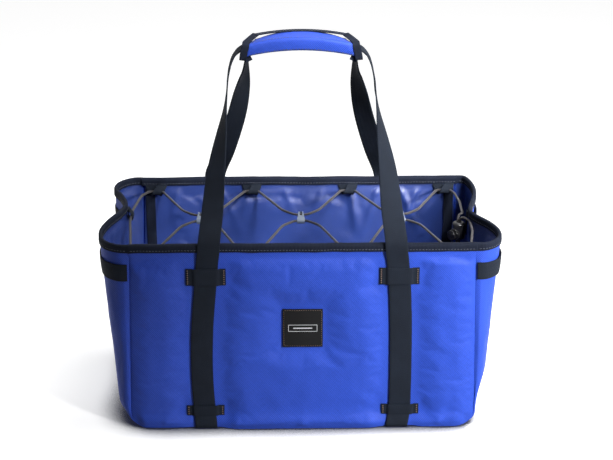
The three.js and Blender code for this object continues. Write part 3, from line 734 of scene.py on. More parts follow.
def settle(obj, held, most, pressure=4.0, slack=0.006):
    """Lets a sheet fill out under its padding with Cloth. held is 1 where it is sewn down; no point
    ends more than most from where it began."""
    scene = bpy.context.scene
    before = coordinates(obj)
    group = obj.vertex_groups.new(name="sewn")
    for i, weight in enumerate(held):
        group.add([i], float(weight), "REPLACE")
    take(obj)
    cloth = obj.modifiers.new("Settle", "CLOTH")
    rules = cloth.settings
    rules.quality = 6
    rules.mass = 0.25
    rules.tension_stiffness = rules.compression_stiffness = 18
    rules.shear_stiffness = 6
    rules.bending_stiffness = 0.4
    rules.use_pressure = True
    rules.uniform_pressure_force = pressure
    rules.vertex_group_mass = "sewn"
    rules.effector_weights.gravity = 0
    rules.shrink_min = -slack
    cloth.point_cache.frame_start = 1
    cloth.point_cache.frame_end = scene.bag_sizes.settle_frames
    for number in range(1, scene.bag_sizes.settle_frames + 1):
        scene.frame_set(number)
    bpy.ops.object.modifier_apply(modifier=cloth.name)
    scene.frame_set(1)
    obj.vertex_groups.clear()
    moved = coordinates(obj) - before
    far = np.linalg.norm(moved, axis=1, keepdims=True)
    return move_points(obj, before + moved * np.minimum(1, most / np.maximum(far, 1e-9)))


# ---------- the bag's shape ----------


def panel_half(z):
    """Half the width of a panel at a height, before its corner is rounded."""
    rise = np.clip((z - CORNER) / (RIM - CORNER), 0, 1)
    return (PANEL_BOTTOM + (PANEL_TOP - PANEL_BOTTOM) * rise) / 2


def panel_rows(step):
    """Heights of a panel's rows of points: close together round the bottom corners."""
    corner = BASE + CORNER * (1 - np.cos(np.linspace(0, math.pi / 2, 15)))
    return np.concatenate([corner, np.arange(BASE + CORNER + step, CLOTH_TOP, step), [CLOTH_TOP]])


def inside_outline(x, z, inset=0.0):
    """How far a point lies inside the panel's outline."""
    a, b, radius = panel_half(z) - inset - np.abs(x), z - BASE - inset, CORNER - inset
    rounded = radius - np.hypot(radius - a, radius - b)
    return np.where((a < radius) & (b < radius), rounded, np.minimum(a, b))


def outline_half(z, inset=0.0):
    """Half a panel's width at a height, its bottom corner rounded."""
    radius = CORNER - inset
    drop = np.clip(radius - (z - BASE - inset), 0, radius)
    return panel_half(z) - inset - radius + np.sqrt(np.maximum(radius**2 - drop**2, 0))


def beside(x, z, middle, level, half_width, half_height):
    """How far a point lies outside a rectangle."""
    return np.hypot(np.maximum(np.abs(x - middle) - half_width, 0),
                    np.maximum(np.abs(z - level) - half_height, 0))


def strap_x(z):
    return np.interp(z, [0.13, 0.191, 0.207], [0.114, 0.1106, 0.109])


def freedom(x, z, patch):
    """0 where a panel's cloth is held down, rising to 1 where it is free to bulge."""
    free = smooth((np.abs(np.abs(x) - strap_x(z)) - 12.7 * MM) / (34 * MM))
    free *= smooth(inside_outline(x, z) / (16 * MM))
    top = FOAM_TOP - z + 3 * MM * np.maximum(0, 1 - (panel_half(z) - np.abs(x)) / (30 * MM)) * -2
    free *= smooth(top / (7 * MM)) * 0.7 + smooth(top / (34 * MM)) * 0.3
    for middle, level, wide, high in ((0.1108, 0.191, 0.023, 0.0103), (0.114, 0.0225, 0.022, 0.0065)):
        free *= smooth(beside(np.abs(x), z, middle, level, wide, high) / (17 * MM))
    if patch:
        free *= smooth(beside(x, z, 0, 0.127, 0.0233, 0.0238) / (25 * MM))
    return free


def sag(x):
    """How far the cloth hangs between the straps, from 0 to 1: less beyond them, least at the left."""
    middle = smooth((0.102 - np.abs(x)) / (26 * MM))
    beyond = smooth((np.abs(x) - 0.126) / (16 * MM)) * smooth((0.192 - np.abs(x)) / (16 * MM))
    return middle + beyond * np.where(x > 0, 0.6, 0.25)


def pleat_line(side):
    flat = PLEATS[side]
    line = through(np.column_stack([flat, np.zeros(len(flat))]), 40)
    return line, run_length(line)


PLEAT_LINES = {side: pleat_line(side) for side in (LEFT, RIGHT)}


def climb(v):
    """Where a gusset's middle runs as it climbs: x, z and the way out of it."""
    half = PANEL_BOTTOM / 2 - GUSSET_HALF
    radius = CORNER - GUSSET_HALF
    low = BASE + GUSSET_HALF
    angle = np.clip(v / CORNER_SHARE, 0, 1) * math.pi / 2
    z_up = low + radius + (v - CORNER_SHARE) / (1 - CORNER_SHARE) * (CLOTH_TOP - low - radius)
    corner = v < CORNER_SHARE
    z = np.where(corner, low + radius - radius * np.cos(angle), z_up)
    x = np.where(corner, half - radius + radius * np.sin(angle), panel_half(z) - GUSSET_HALF)
    return x, z, np.where(corner, np.sin(angle), 1.0), np.where(corner, -np.cos(angle), 0.0)


def pleat_opening(side, z):
    foot, power, low = PLEAT_OPENING[side]
    rise = np.clip((z - BASE) / (RIM - 13 * MM - BASE), 0, 1)
    return smooth((z - BASE) / low) * (foot + (1 - foot) * rise**power)


def gusset_at(side, u, v):
    """A point of the middle of a gusset."""
    line, along = PLEAT_LINES[side]
    at = np.clip(u, 0, 1) * along[-1]
    stand, y = np.interp(at, along, line[:, 0]), np.interp(at, along, line[:, 1])
    x, z, out_x, out_z = climb(v)
    out = stand * pleat_opening(side, z)
    return np.stack([side * (x + out * out_x), y + 0 * x, z + out * out_z * 0.1], -1)


def gusset_lifted(side, u, v, lift):
    """A point of a gusset, moved out of it by lift."""
    e = 2e-3
    lo_u, hi_u = np.clip(u - e, 0, 1), np.clip(u + e, 0, 1)
    lo_v, hi_v = np.clip(v - e, 0, 1), np.clip(v + e, 0, 1)
    along = gusset_at(side, hi_u, v) - gusset_at(side, lo_u, v)
    rise = gusset_at(side, u, hi_v) - gusset_at(side, u, lo_v)
    normal = unit(np.cross(along, rise)) * side
    return gusset_at(side, u, v) + normal * np.asarray(lift)[..., None]


def climb_share(z):
    """The share of a gusset's height at which it stands at z."""
    low = BASE + CORNER
    return CORNER_SHARE + (z - low) / (CLOTH_TOP - low) * (1 - CORNER_SHARE)


def u_section(outer, inner, drop, bend, count=26):
    """The middle line of a folded tape: (offset, height below its top)."""
    turn = np.linspace(0, math.pi / 2, 6)
    right = [(outer - bend + bend * math.cos(a), bend * math.sin(a) - bend) for a in turn]
    left = [(inner + bend - bend * math.sin(a), bend * math.cos(a) - bend) for a in turn]
    line = np.array([(outer, -drop), *right, *left, (inner, -drop)])
    return evenly(np.column_stack([line, np.zeros(len(line))]), count)[:, :2]


def arch(angle, across, up):
    """A point of the grip: an angle round its arch, then across (Y) and up (out of the arch)."""
    reach = GRIP_RADIUS + np.asarray(up, float)
    middle = GRIP_TOP - GRIP_RADIUS
    return np.stack(np.broadcast_arrays(reach * np.sin(angle), across, middle + reach * np.cos(angle)), -1)


def rounded(corners, radii, step=1.4 * MM):
    """A closed outline with each corner rounded, sampled evenly."""
    corners = np.array(corners, float)
    made = []
    for i, corner in enumerate(corners):
        back, ahead = corners[i - 1] - corner, corners[(i + 1) % len(corners)] - corner
        reach = [min(radii[i], 0.45 * np.linalg.norm(edge)) for edge in (back, ahead)]
        a, b = corner + unit(back) * reach[0], corner + unit(ahead) * reach[1]
        t = np.linspace(0, 1, 6)[:, None]
        made.append((1 - t) ** 2 * a + 2 * t * (1 - t) * corner + t * t * b)
    loop = np.vstack([*made, made[0][:1]])
    line = np.column_stack([loop, np.zeros(len(loop))])
    return evenly(line, max(16, int(run_length(line)[-1] / step)))[:, :2]


def swept(name, outline, length, puff=None, soft=0.8 * MM):
    """A closed outline in the grip's (across, up) plane, carried round its arch for a length."""
    half = length / 2 / GRIP_RADIUS
    rows = max(10, int(length / (1.8 * MM)))

    def place(u, v):
        section = outline[np.rint(u).astype(int)]
        a, b = section[:, 0], section[:, 1]
        if puff:
            a, b = puff(a, b, v * GRIP_RADIUS, length / 2)
        return arch(v, a, b)

    around = run_length(np.column_stack([outline, np.zeros(len(outline))]))

    def flat(u, v):
        return v * GRIP_RADIUS, around[np.rint(u).astype(int)]

    obj = cloth_grid(name, np.arange(len(outline)), np.linspace(-half, half, rows), place, flat)
    close_tube(obj)
    if soft:
        apply_modifier(obj, "BEVEL", width=soft, segments=3, limit_method="ANGLE",
                       angle_limit=math.radians(60))
        take(obj)
        bpy.ops.object.shade_smooth_by_angle(angle=math.radians(70))
    return obj


def arcs(route, tightest=6 * MM):
    """A cord's line through its corners (x, y, z, bend radius), each turned with a true arc."""
    points = np.array([corner[:3] for corner in route])
    line = [points[0]]
    for i in range(1, len(points) - 1):
        back, ahead = unit(points[i - 1] - points[i]), unit(points[i + 1] - points[i])
        turn = math.pi - math.acos(np.clip(back @ ahead, -1, 1))
        if turn < 1e-3:
            line.append(points[i])
            continue
        radius = max(route[i][3], tightest)
        centre = points[i] + unit(back + ahead) * radius / math.cos(turn / 2)
        start = points[i] + back * radius * math.tan(turn / 2) - centre
        toward = unit(-back - (-back @ unit(start)) * unit(start))
        for angle in np.linspace(0, turn, max(3, int(turn / 0.15))):
            line.append(centre + unit(start) * radius * math.cos(angle) + toward * radius * math.sin(angle))
    line.append(points[-1])
    return np.array(line)


# ---------- the stage ----------


def softbox(name, place, aim, size, watts, tint=(1, 1, 1)):
    deselect()
    bpy.ops.object.light_add(type="AREA", location=place)
    lamp = bpy.context.object
    lamp.name = lamp.data.name = name
    lamp.data.shape, lamp.data.size, lamp.data.energy, lamp.data.color = "DISK", size, watts, tint
    lamp.rotation_euler = (Vector(aim) - Vector(place)).to_track_quat("-Z", "Y").to_euler()
    return lamp


def spotlight(name, place, aim, cone, radius, watts):
    deselect()
    bpy.ops.object.light_add(type="SPOT", location=place)
    lamp = bpy.context.object
    lamp.name = lamp.data.name = name
    lamp.data.spot_size, lamp.data.spot_blend = math.radians(cone), 1
    lamp.data.shadow_soft_size, lamp.data.energy = radius, watts
    lamp.rotation_euler = (Vector(aim) - Vector(place)).to_track_quat("-Z", "Y").to_euler()
    return lamp


class BAG_OT_stage(bpy.types.Operator):
    """Add the camera, the pale floor and the soft studio light"""

    bl_idname = "bag.stage"
    bl_label = "Stage"

    def execute(self, context):
        place, aim = Vector((-0.03047, -1.98447, 0.94840)), Vector((0.00659, 0, 0.20235))
        turn = (aim - place).to_track_quat("-Z", "Y").to_euler()
        bpy.ops.object.camera_add(location=place, rotation=turn)
        camera = context.object
        camera.name = "camera"
        camera.data.lens, camera.data.sensor_width = 103.36, 36
        context.scene.camera = camera
        deselect()
        bpy.ops.mesh.primitive_plane_add(size=30, location=(0, 0, 0))
        floor = named("floor")
        paper = Finish("floor paper", (0.7, 0.7, 0.7), 0.9)
        # Painted shadow: an occlusion node darkens the paper's colour and glow close under the bag, but not
        # beyond its right side, where the key light falls.
        painted_occlusion = paper.node("ShaderNodeAmbientOcclusion", {"samples": 12}, {"Distance": 0.06}, output=1)
        across = paper.place("Object")[0]
        painted_unshaded = ((painted_occlusion - 0.52) * 3.6 + ((across - 0.19) * 45).held(0, 1)).held(0, 1)
        paper.set("Emission Color", paper.mix(painted_unshaded, (0.01, 0.012, 0.03, 1), (1, 1, 1, 1)))
        paper.set("Base Color", paper.mix(painted_unshaded, (0.02, 0.024, 0.05, 1), (0.7, 0.7, 0.7, 1)))
        paper.shader.inputs["Emission Strength"].default_value = 0.62
        floor.data.materials.append(paper.material)
        floor.visible_diffuse = False
        world = context.scene.world or bpy.data.worlds.new("studio")
        context.scene.world = world
        world.use_nodes = True
        self.backdrop(world.node_tree)
        context.scene.view_settings.view_transform = "Standard"
        softbox("side", (1.35, 0.12, 0.7), (0.1, 0.05, 0.12), 0.6, 6)
        softbox("top", (0.35, 0.15, 1.7), (0, 0, 0.1), 0.9, 15)
        spotlight("key", (0.95, -1.0, 0.8), (0.24, -0.12, 0.14), 32, 0.16, 200)
        spotlight("grip", (0.5, -0.9, 1.3), (0.05, 0, 0.42), 18, 0.12, 200)
        spotlight("mouth", (0.6, -0.55, 1.2), (0.175, 0.115, 0.2), 13.5, 0.14, 130)
        return {"FINISHED"}

    def backdrop(self, tree):
        """A white studio that is bright behind and above the bag and dark on the camera's side."""
        point = tree.nodes.new("ShaderNodeTexCoord")
        split = tree.nodes.new("ShaderNodeSeparateXYZ")
        tree.links.new(point.outputs["Generated"], split.inputs[0])
        ramp = tree.nodes.new("ShaderNodeMapRange")
        ramp.interpolation_type = "SMOOTHSTEP"
        for socket, value in (("From Min", -0.15), ("From Max", 0.35), ("To Min", 0.03), ("To Max", 0.85)):
            ramp.inputs[socket].default_value = value
        tree.links.new(split.outputs["Y"], ramp.inputs["Value"])
        below = tree.nodes.new("ShaderNodeMapRange")
        for socket, value in (("From Min", -0.7), ("From Max", 0.7), ("To Min", 0.1), ("To Max", 0.5)):
            below.inputs[socket].default_value = value
        tree.links.new(split.outputs["X"], below.inputs["Value"])
        under = tree.nodes.new("ShaderNodeMath")
        under.operation = "LESS_THAN"
        under.inputs[1].default_value = 0
        tree.links.new(split.outputs["Z"], under.inputs[0])
        chosen = tree.nodes.new("ShaderNodeMix")
        tree.links.new(under.outputs[0], chosen.inputs[0])
        tree.links.new(ramp.outputs["Result"], chosen.inputs[2])
        tree.links.new(below.outputs["Result"], chosen.inputs[3])
        background = tree.nodes["Background"]
        background.inputs["Color"].default_value = (1, 1, 1, 1)
        tree.links.new(chosen.outputs[0], background.inputs["Strength"])


class BAG_OT_finishes(bpy.types.Operator):
    """Make the procedural materials, and dress the CAD pieces that stay"""

    bl_idname = "bag.finishes"
    bl_label = "Finishes"

    def execute(self, context):
        FINISHES.update(make_finishes())
        for node, finish in (("base_board", "board"), ("lock_spring", "wire")):
            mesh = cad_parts[node].data
            mesh.materials.clear()
            mesh.materials.append(FINISHES[finish])
        return {"FINISHED"}


# ---------- panels, gussets and base ----------


def outer_panel(side):
    sizes = bpy.context.scene.bag_sizes
    name = FACE[side]
    patch = side == FRONT
    us = np.linspace(-1, 1, int(PANEL_BOTTOM / sizes.mesh_step))

    def place(u, v):
        x, z = u * outline_half(v), v
        free = freedom(x, z, patch)
        points = np.column_stack([x, 0 * x, z])
        broad = rumple(points, 0.07, 3 + side) * sizes.rumple * 1.1
        fine = rumple(points, 0.02, 9 + side) * sizes.rumple * 0.28
        crown = sizes.padding * free + (broad + fine) * smooth(free * 2.5)
        crown += creases(x, z, PANEL_CREASES) * smooth(free * 4)
        hang = sag(x)
        if patch:
            crown += 3.6 * MM * smooth((0.019 - z) / (13 * MM)) * smooth((0.196 - np.abs(x)) / (12 * MM))
        near_floor = smooth((0.03 - z) / (24 * MM))
        belly = np.exp(-(((z - 0.008) / 0.007) ** 2))
        crown += hang * (2.0 * MM * near_floor + 1.8 * MM * belly)
        roll = 2.1 * MM * (1 - smooth(inside_outline(x, z) / (3.8 * MM))) * smooth((z - 0.004) / (14 * MM))
        roll *= 1 - smooth((z - 0.214) / (5 * MM))
        low = z - 1.6 * MM * hang * smooth((0.02 - z) / (17 * MM))
        return np.stack([x, side * (WALL - sizes.cloth / 2 - 0.1 * MM + crown - roll), low], 1)

    def flat(u, v):
        return u * outline_half(v) * side, v

    obj = cloth_grid(name + "_panel", us, panel_rows(sizes.mesh_step), place, flat)
    face_towards(obj, (0, side, 0))
    co = coordinates(obj)
    held = 1 - smooth(freedom(co[:, 0], co[:, 2], patch) * 3)
    settle(obj, held, 1.3 * MM)
    thicken(obj, sizes.cloth, 0, 0.2 * MM)
    fit(obj, "bag", "outer_fabric", "outer", name + "_outer", name + "_foam")
    return obj


def lining_panel(side):
    sizes = bpy.context.scene.bag_sizes
    us = np.linspace(-1, 1, int(PANEL_BOTTOM / 3.0 / MM))
    inset = 3.2 * MM
    folds = [(x, 0.219, x + lean, 0.219 - run, 5 * MM, high) for x, lean, run, high in (
        (-0.185, 0.012, 0.06, 1.6 * MM), (-0.15, -0.02, 0.05, 1.2 * MM), (-0.1, 0.03, 0.07, 1.3 * MM),
        (-0.062, -0.012, 0.05, 1.5 * MM), (-0.02, 0.02, 0.06, 1.0 * MM), (0.03, -0.02, 0.06, 1.3 * MM),
        (0.062, 0.014, 0.07, 2.4 * MM), (0.1, -0.024, 0.08, 2.2 * MM), (0.125, 0.03, 0.07, 2.8 * MM),
        (0.15, -0.026, 0.06, 2.4 * MM), (0.178, 0.006, 0.06, 2.0 * MM),
    )]

    def place(u, v):
        z = inset + v * (CLOTH_TOP - inset - BASE) / (CLOTH_TOP - BASE) + 0.6 * MM
        z = np.minimum(z, CLOTH_TOP)
        x = u * outline_half(v, inset)
        points = np.column_stack([x, 0 * x, z])
        loose = smooth((0.2185 - z) / (10 * MM)) * smooth((inside_outline(x, z) - 4 * MM) / (14 * MM))
        soft = (rumple(points, 0.06, 20 + side) + 0.4) * 1.6 * MM + rumple(points, 0.018, 31) * 0.35 * MM
        loose = loose * smooth((0.168 - np.abs(x)) / (12 * MM))
        lift = np.maximum((soft + 1.5 * creases(x, z, folds)) * loose, -0.2 * MM)
        return np.stack([x, side * (LINING_WALL - lift), z], 1)

    def flat(u, v):
        return u * outline_half(v, inset), v

    obj = cloth_grid(FACE[side] + "_lining_panel", us, panel_rows(3.0 * MM), place, flat)
    face_towards(obj, (0, -side, 0))
    co = coordinates(obj)
    inner = 0.166 - np.abs(co[:, 0])
    below_rim = smooth((0.216 - co[:, 2]) / (12 * MM))
    above_base = smooth((co[:, 2] - 0.012) / (12 * MM))
    held = 1 - below_rim * smooth(inner / (10 * MM)) * above_base
    settle(obj, held, 1.8 * MM, pressure=1.0, slack=0.012)
    thicken(obj, sizes.lining)
    fit(obj, "bag", "lining_fabric", "lining", FACE[side] + "_lining")
    return obj


class BAG_OT_panels(bpy.types.Operator):
    """Add the padded front and rear panels and their linings"""

    bl_idname = "bag.panels"
    bl_label = "Panels"

    def execute(self, context):
        for side in (FRONT, REAR):
            outer_panel(side)
            lining_panel(side)
        return {"FINISHED"}


class BAG_OT_base(bpy.types.Operator):
    """Add the cloth under the base and the lining over its board"""

    bl_idname = "bag.base"
    bl_label = "Base"

    def execute(self, context):
        sizes = context.scene.bag_sizes
        half = (PANEL_BOTTOM / 2 - CORNER) - 0.3 * MM
        for name, level, depth, thick, high, finish in (
            ("outer", BASE + 0.5 * MM, 0.1187, sizes.cloth, 0.15 * MM, "outer"),
            ("lining", BASE + 4.1 * MM, 0.1143, sizes.lining, 0.5 * MM, "lining"),
        ):
            def place(u, v):
                points = np.column_stack([u, v, 0 * u])
                edge = np.minimum(half - np.abs(u), depth - np.abs(v))
                lift = (rumple(points, 0.05, 40) + 0.7) * high * smooth(edge / (12 * MM))
                hang = sag(u) if name == "outer" else 0 * u
                reach = 1 + hang * 0.017 + (0.03 if name == "outer" else 0) * (v < 0)
                return np.stack([u, v * reach, level + lift - 1.6 * MM * hang], 1)

            us = np.linspace(-half, half, 120)
            vs = np.linspace(-depth, depth, 80)
            sheet = cloth_grid(f"base_{name}_cloth", us, vs, place, lambda u, v: (u, v))
            thicken(sheet, thick, 0, 0.15 * MM)
            slot = "outer_fabric" if name == "outer" else "lining_fabric"
            fit(sheet, "bag", slot, finish, f"base_{name}")
        return {"FINISHED"}


def gusset_cloth(side, inner):
    sizes = bpy.context.scene.bag_sizes
    _, along = PLEAT_LINES[side]
    width, height = along[-1], 0.24
    us = np.linspace(0, 1, int(width / sizes.mesh_step))
    vs = np.concatenate([np.linspace(0.0, CORNER_SHARE, 16), np.linspace(CORNER_SHARE, 1, 78)[1:]])

    def place(u, v):
        spot = gusset_at(side, u, v)
        ends = smooth(np.minimum(u, 1 - u) * width / (14 * MM))
        below_tape = smooth((0.2165 - spot[:, 2]) / (9 * MM))
        loose = ends * below_tape * smooth(v / 0.06)
        flat = np.column_stack([u * width, v * height, 0 * u])
        stretched = flat * np.array([1.5, 0.6, 1])
        soft = rumple(stretched, 0.055, 50 + side + 3 * inner) * 1.5 * MM
        soft += rumple(stretched, 0.02, 60 + side) * 0.4 * MM
        if inner:
            lift = -0.75 * MM - np.maximum(soft * 1.3 + 0.9 * MM, 0) * loose
        else:
            edge = np.minimum(u, 1 - u) * width
            ridge = 1.2 * MM * np.exp(-(((edge - 6 * MM) / (2.6 * MM)) ** 2)) * below_tape
            lift = 0.1 * MM + np.maximum(soft, -0.15 * MM) * loose + ridge * smooth(v / 0.1)
        return gusset_lifted(side, u, v, lift)

    name = f"{HAND[side]}_gusset_{'lining' if inner else 'cloth'}"
    obj = cloth_grid(name, us, vs, place, lambda u, v: (u * width, v * height))
    return thicken(obj, sizes.lining if inner else 0.8 * MM, 0, 0.0 if inner else 0.15 * MM)


class BAG_OT_gussets(bpy.types.Operator):
    """Add the pleated side gussets and their linings"""

    bl_idname = "bag.gussets"
    bl_label = "Gussets"

    def execute(self, context):
        for side in (LEFT, RIGHT):
            shell = gusset_cloth(side, False)
            fit(shell, "bag", "outer_fabric", "outer", HAND[side] + "_gusset")
            inner = gusset_cloth(side, True)
            fit(inner, "bag", "lining_fabric", "lining")
        return {"FINISHED"}


# ---------- tapes and webbing ----------


def rim_wave(x, seed):
    points = np.column_stack([x, 0 * x, 0 * x])
    return rumple(points, 0.045, seed)


def panel_tape(side):
    sizes = bpy.context.scene.bag_sizes
    section = u_section(120.8 * MM, 113.6 * MM, 9.0 * MM, 2.9 * MM)
    half = PANEL_TOP / 2 + 0.8 * MM
    seed = 70 + side

    def place(u, v):
        spot = section[np.rint(u).astype(int)]
        wave = rim_wave(v, seed)
        y = spot[:, 0] + 0.35 * MM * rim_wave(v, seed + 5)
        drop = spot[:, 1] * (1 + 0.05 * rim_wave(v * 1.7, seed + 9))
        return np.stack([v, side * y, RIM + 0.9 * MM + drop + 0.7 * MM * wave], 1)

    vs = np.linspace(-half, half, 200)
    fold = np.linspace(0, 0.026, len(section))

    def flat(u, v):
        return fold[np.rint(u).astype(int)], v

    obj = cloth_grid(f"{FACE[side]}_rim_binding", np.arange(len(section)), vs, place, flat)
    thicken(obj, sizes.tape, 0, 0.25 * MM)
    fit(obj, "bag", "binding_tape", "tape", f"{FACE[side]}_rim_tape")
    runs = []
    xs = np.linspace(-half + 2 * MM, half - 2 * MM, 260)
    for y, out in ((121.38 * MM, side), (112.98 * MM, -side)):
        wave = 0.7 * MM * rim_wave(xs, seed)
        shift = 0.35 * MM * rim_wave(xs, seed + 5)
        line = np.stack([xs, side * (y + shift), RIM - 5.4 * MM + wave], 1)
        runs.append((line, np.tile((0.0, float(out), 0.0), (len(xs), 1))))
    return runs


def gusset_tape(side):
    sizes = bpy.context.scene.bag_sizes
    section = u_section(1.9 * MM, -1.9 * MM, 9.0 * MM, 1.8 * MM, 20)
    us = np.linspace(0.0, 1.0, 150)
    spots = gusset_at(side, us, np.ones_like(us))
    run = unit(np.gradient(spots, axis=0))
    across = unit(np.stack([side * run[:, 1], -side * run[:, 0], 0 * us], 1))
    wave = rim_wave(us * 0.3, 80 + side)

    def place(u, v):
        k, spot = np.rint(v).astype(int), section[np.rint(u).astype(int)]
        lift = RIM + 0.9 * MM + spot[:, 1] + 0.6 * MM * wave[k]
        flat = spots[k] + across[k] * spot[:, :1]
        return np.stack([flat[:, 0], flat[:, 1], lift], 1)

    along = run_length(spots)
    fold = np.linspace(0, 0.022, len(section))

    def flat(u, v):
        return fold[np.rint(u).astype(int)], along[np.rint(v).astype(int)]

    obj = cloth_grid(f"{HAND[side]}_rim_binding", np.arange(len(section)), np.arange(len(us)), place, flat)
    thicken(obj, sizes.tape, 0, 0.25 * MM)
    fit(obj, "bag", "binding_tape", "tape", f"{HAND[side]}_rim_tape")
    runs = []
    for reach in (2.46 * MM, -2.46 * MM):
        line = spots + across * reach
        line[:, 2] = RIM - 5.4 * MM + 0.6 * MM * wave
        runs.append((line[2:-2], across[2:-2] * np.sign(reach)))
    return runs


class BAG_OT_tapes(bpy.types.Operator):
    """Add the rim and seam tapes, their stitches and the side bands"""

    bl_idname = "bag.tapes"
    bl_label = "Tapes"

    def execute(self, context):
        sizes = context.scene.bag_sizes
        runs = []
        for side in (FRONT, REAR):
            runs += panel_tape(side)
        for side in (LEFT, RIGHT):
            runs += gusset_tape(side)
        rows = stitches("rim_stitches", runs)
        fit(rows, "bag", "binding_tape", "thread")
        for face in (FRONT, REAR):
            for hand in (LEFT, RIGHT):
                middle = hand * (0.198 - 10 * MM)
                rows = [(middle + hand * shift * MM, face * 0.1137, z, 0)
                        for shift, z in ((0, 0.0345), (0.4, 0.09), (-0.3, 0.14), (0.2, 0.18), (0, 0.2195))]
                tape = ribbon(f"{FACE[face]}_{HAND[hand]}_seam_binding", rows, (0, 1, 0), 12 * MM, sizes.tape)
                fit(tape, "bag", "binding_tape", "tape", f"{FACE[face]}_{HAND[hand]}_seam_tape")
        for side in (LEFT, RIGHT):
            self.band(side)
        return {"FINISHED"}

    def band(self, side):
        """A band of webbing across a gusset. The right one stands off it between its ends."""
        low, high = climb_share(0.186), climb_share(0.2065)
        us = np.linspace(0.008, 0.992, 130)
        stand = 1.5 * MM + (2.0 * MM if side == RIGHT else 0.5 * MM) * np.sin(math.pi * us) ** 0.5

        def place(u, v):
            k = np.rint(u).astype(int)
            bow = 0.35 * MM * (1 - (2 * v - 1) ** 2)
            return gusset_lifted(side, us[k], low + v * (high - low), stand[k] + bow)

        width = PLEAT_LINES[side][1][-1]
        obj = cloth_grid(f"{HAND[side]}_gusset_band", np.arange(len(us)), np.linspace(0, 1, 9), place,
                         lambda u, v: (v * 0.02, u / len(us) * width))
        thicken(obj, 1.3 * MM, 0, 0.3 * MM)
        fit(obj, "bag", "webbing", "webbing", f"{HAND[side]}_side_band")


def strap_rows(side):
    """A strap's rows, from the front's upper keeper, under the base, to the rear's."""
    x = 0.114
    half = [
        (0.1106, 0.1212, 0.1895), (0.1122, 0.1212, 0.165), (0.1135, 0.1212, 0.13), (x, 0.1212, 0.09),
        (x, 0.1212, 0.05), (x, 0.1212, 0.02), (x, 0.1212, 0.006), (x, 0.1208, 0.0026),
        (x, 0.1196, 0.0013), (x, 0.117, 0.0009), (x, 0.105, 0.0009), (x, 0.06, 0.0009),
    ]
    lean = {LEFT: (0, 0.6, 2.2, 3.2, 2.6, 0.6, -0.6, -0.8, -0.8, -0.8, -0.6, 0),
            RIGHT: (0, 0, 0, 0, 0, -0.8, -3.2, -3.6, -3.6, -3.4, -2.6, -1)}[side]
    swell = (0, 0, 0, 0, 0, 0.4, 4.0, 4.4, 4.2, 3.0, 1.0, 0)
    front = [(side * (px + a * MM), -py - b * MM, pz, 0) for (px, py, pz), a, b in zip(half, lean, swell)]
    rear = [(side * px, py, pz, 0) for px, py, pz in half[::-1]]
    return front + [(side * x, 0, 0.0009, 0)] + rear


class BAG_OT_straps(bpy.types.Operator):
    """Add the two straps round the bag and the two handles"""

    bl_idname = "bag.straps"
    bl_label = "Straps"

    def execute(self, context):
        sizes = context.scene.bag_sizes
        for side in (LEFT, RIGHT):
            strap = ribbon(f"{HAND[side]}_strap_webbing", strap_rows(side), (0, 1, 0),
                           sizes.webbing_width, sizes.webbing, 1.5 * MM)
            fit(strap, "bag", "webbing", "webbing", f"{HAND[side]}_strap")
        for face in (FRONT, REAR):
            lift = -face * 1.3 * MM
            xs = ARCH_XS[face]
            top = [(*arch(math.asin(x / (GRIP_RADIUS + lift)), 0.0, lift), 90) for x in xs]
            rows = mirrored(HANDLE_ROWS[face] + top)
            handle = ribbon(f"{FACE[face]}_handle_webbing", rows, (0, face, 0),
                            sizes.webbing_width, sizes.webbing, 2 * MM)
            handle.data.materials.append(FINISHES["webbing"])
            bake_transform(handle)
            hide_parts(f"{FACE[face]}_handle_strap")
        return {"FINISHED"}


def keeper_line(half):
    """A keeper's middle, as (x, out of the wall): its feet, and the tunnel over the strap."""
    return np.array([
        (-half, 0.85, 0), (-half + 2, 0.9, 0), (-16.6, 0.95, 0), (-15.2, 1.35, 0), (-13.9, 2.4, 0),
        (-12.2, 2.88, 0), (-6, 2.95, 0), (0, 2.98, 0), (6, 2.95, 0), (12.2, 2.88, 0), (13.9, 2.4, 0),
        (15.2, 1.35, 0), (16.6, 0.95, 0), (half - 2, 0.9, 0), (half, 0.85, 0),
    ])


class BAG_OT_keepers(bpy.types.Operator):
    """Add the bands that hold the straps, with the bar tacks at their ends"""

    bl_idname = "bag.keepers"
    bl_label = "Keepers"

    def execute(self, context):
        tacks = []
        for face in (FRONT, REAR):
            for hand in (LEFT, RIGHT):
                for level, x, z, width, height in (
                    ("upper", 110.8, 191, 46, 20.5), ("lower", 114, 22.5, 44, 13),
                ):
                    name = f"{FACE[face]}_{HAND[hand]}_{level}_keeper"
                    tacks += self.keeper(name, face, hand * x, z, width, height)
        rows = stitches("bar_tacks", tacks, 1.9 * MM, 1.3 * MM, 2.5 * MM)
        fit(rows, "bag", "webbing", "tack")
        return {"FINISHED"}

    def keeper(self, name, face, x, z, width, height):
        line = evenly(through(keeper_line(width / 2), 8), 60) * MM

        def place(u, v):
            k = np.rint(u).astype(int)
            out = face * (WALL + line[k, 1])
            return np.stack([x * MM + line[k, 0], out, z * MM + v * height / 2 * MM], 1)

        obj = cloth_grid(name + "_band", np.arange(60), np.linspace(-1, 1, 9), place,
                         lambda u, v: (v * height / 2 * MM, u / 60 * width * MM))
        thicken(obj, 1.1 * MM, 0, 0.35 * MM)
        fit(obj, "bag", "webbing", "webbing", name)
        runs = []
        for reach in (-(width / 2 - 2.2), width / 2 - 2.2):
            zs = np.linspace(z - height / 2 + 1, z + height / 2 - 1, 12) * MM
            run = np.stack([0 * zs + (x + reach) * MM, 0 * zs + face * (WALL + 1.5 * MM), zs], 1)
            runs.append((run, np.tile((0.0, float(face), 0.0), (12, 1))))
        return runs


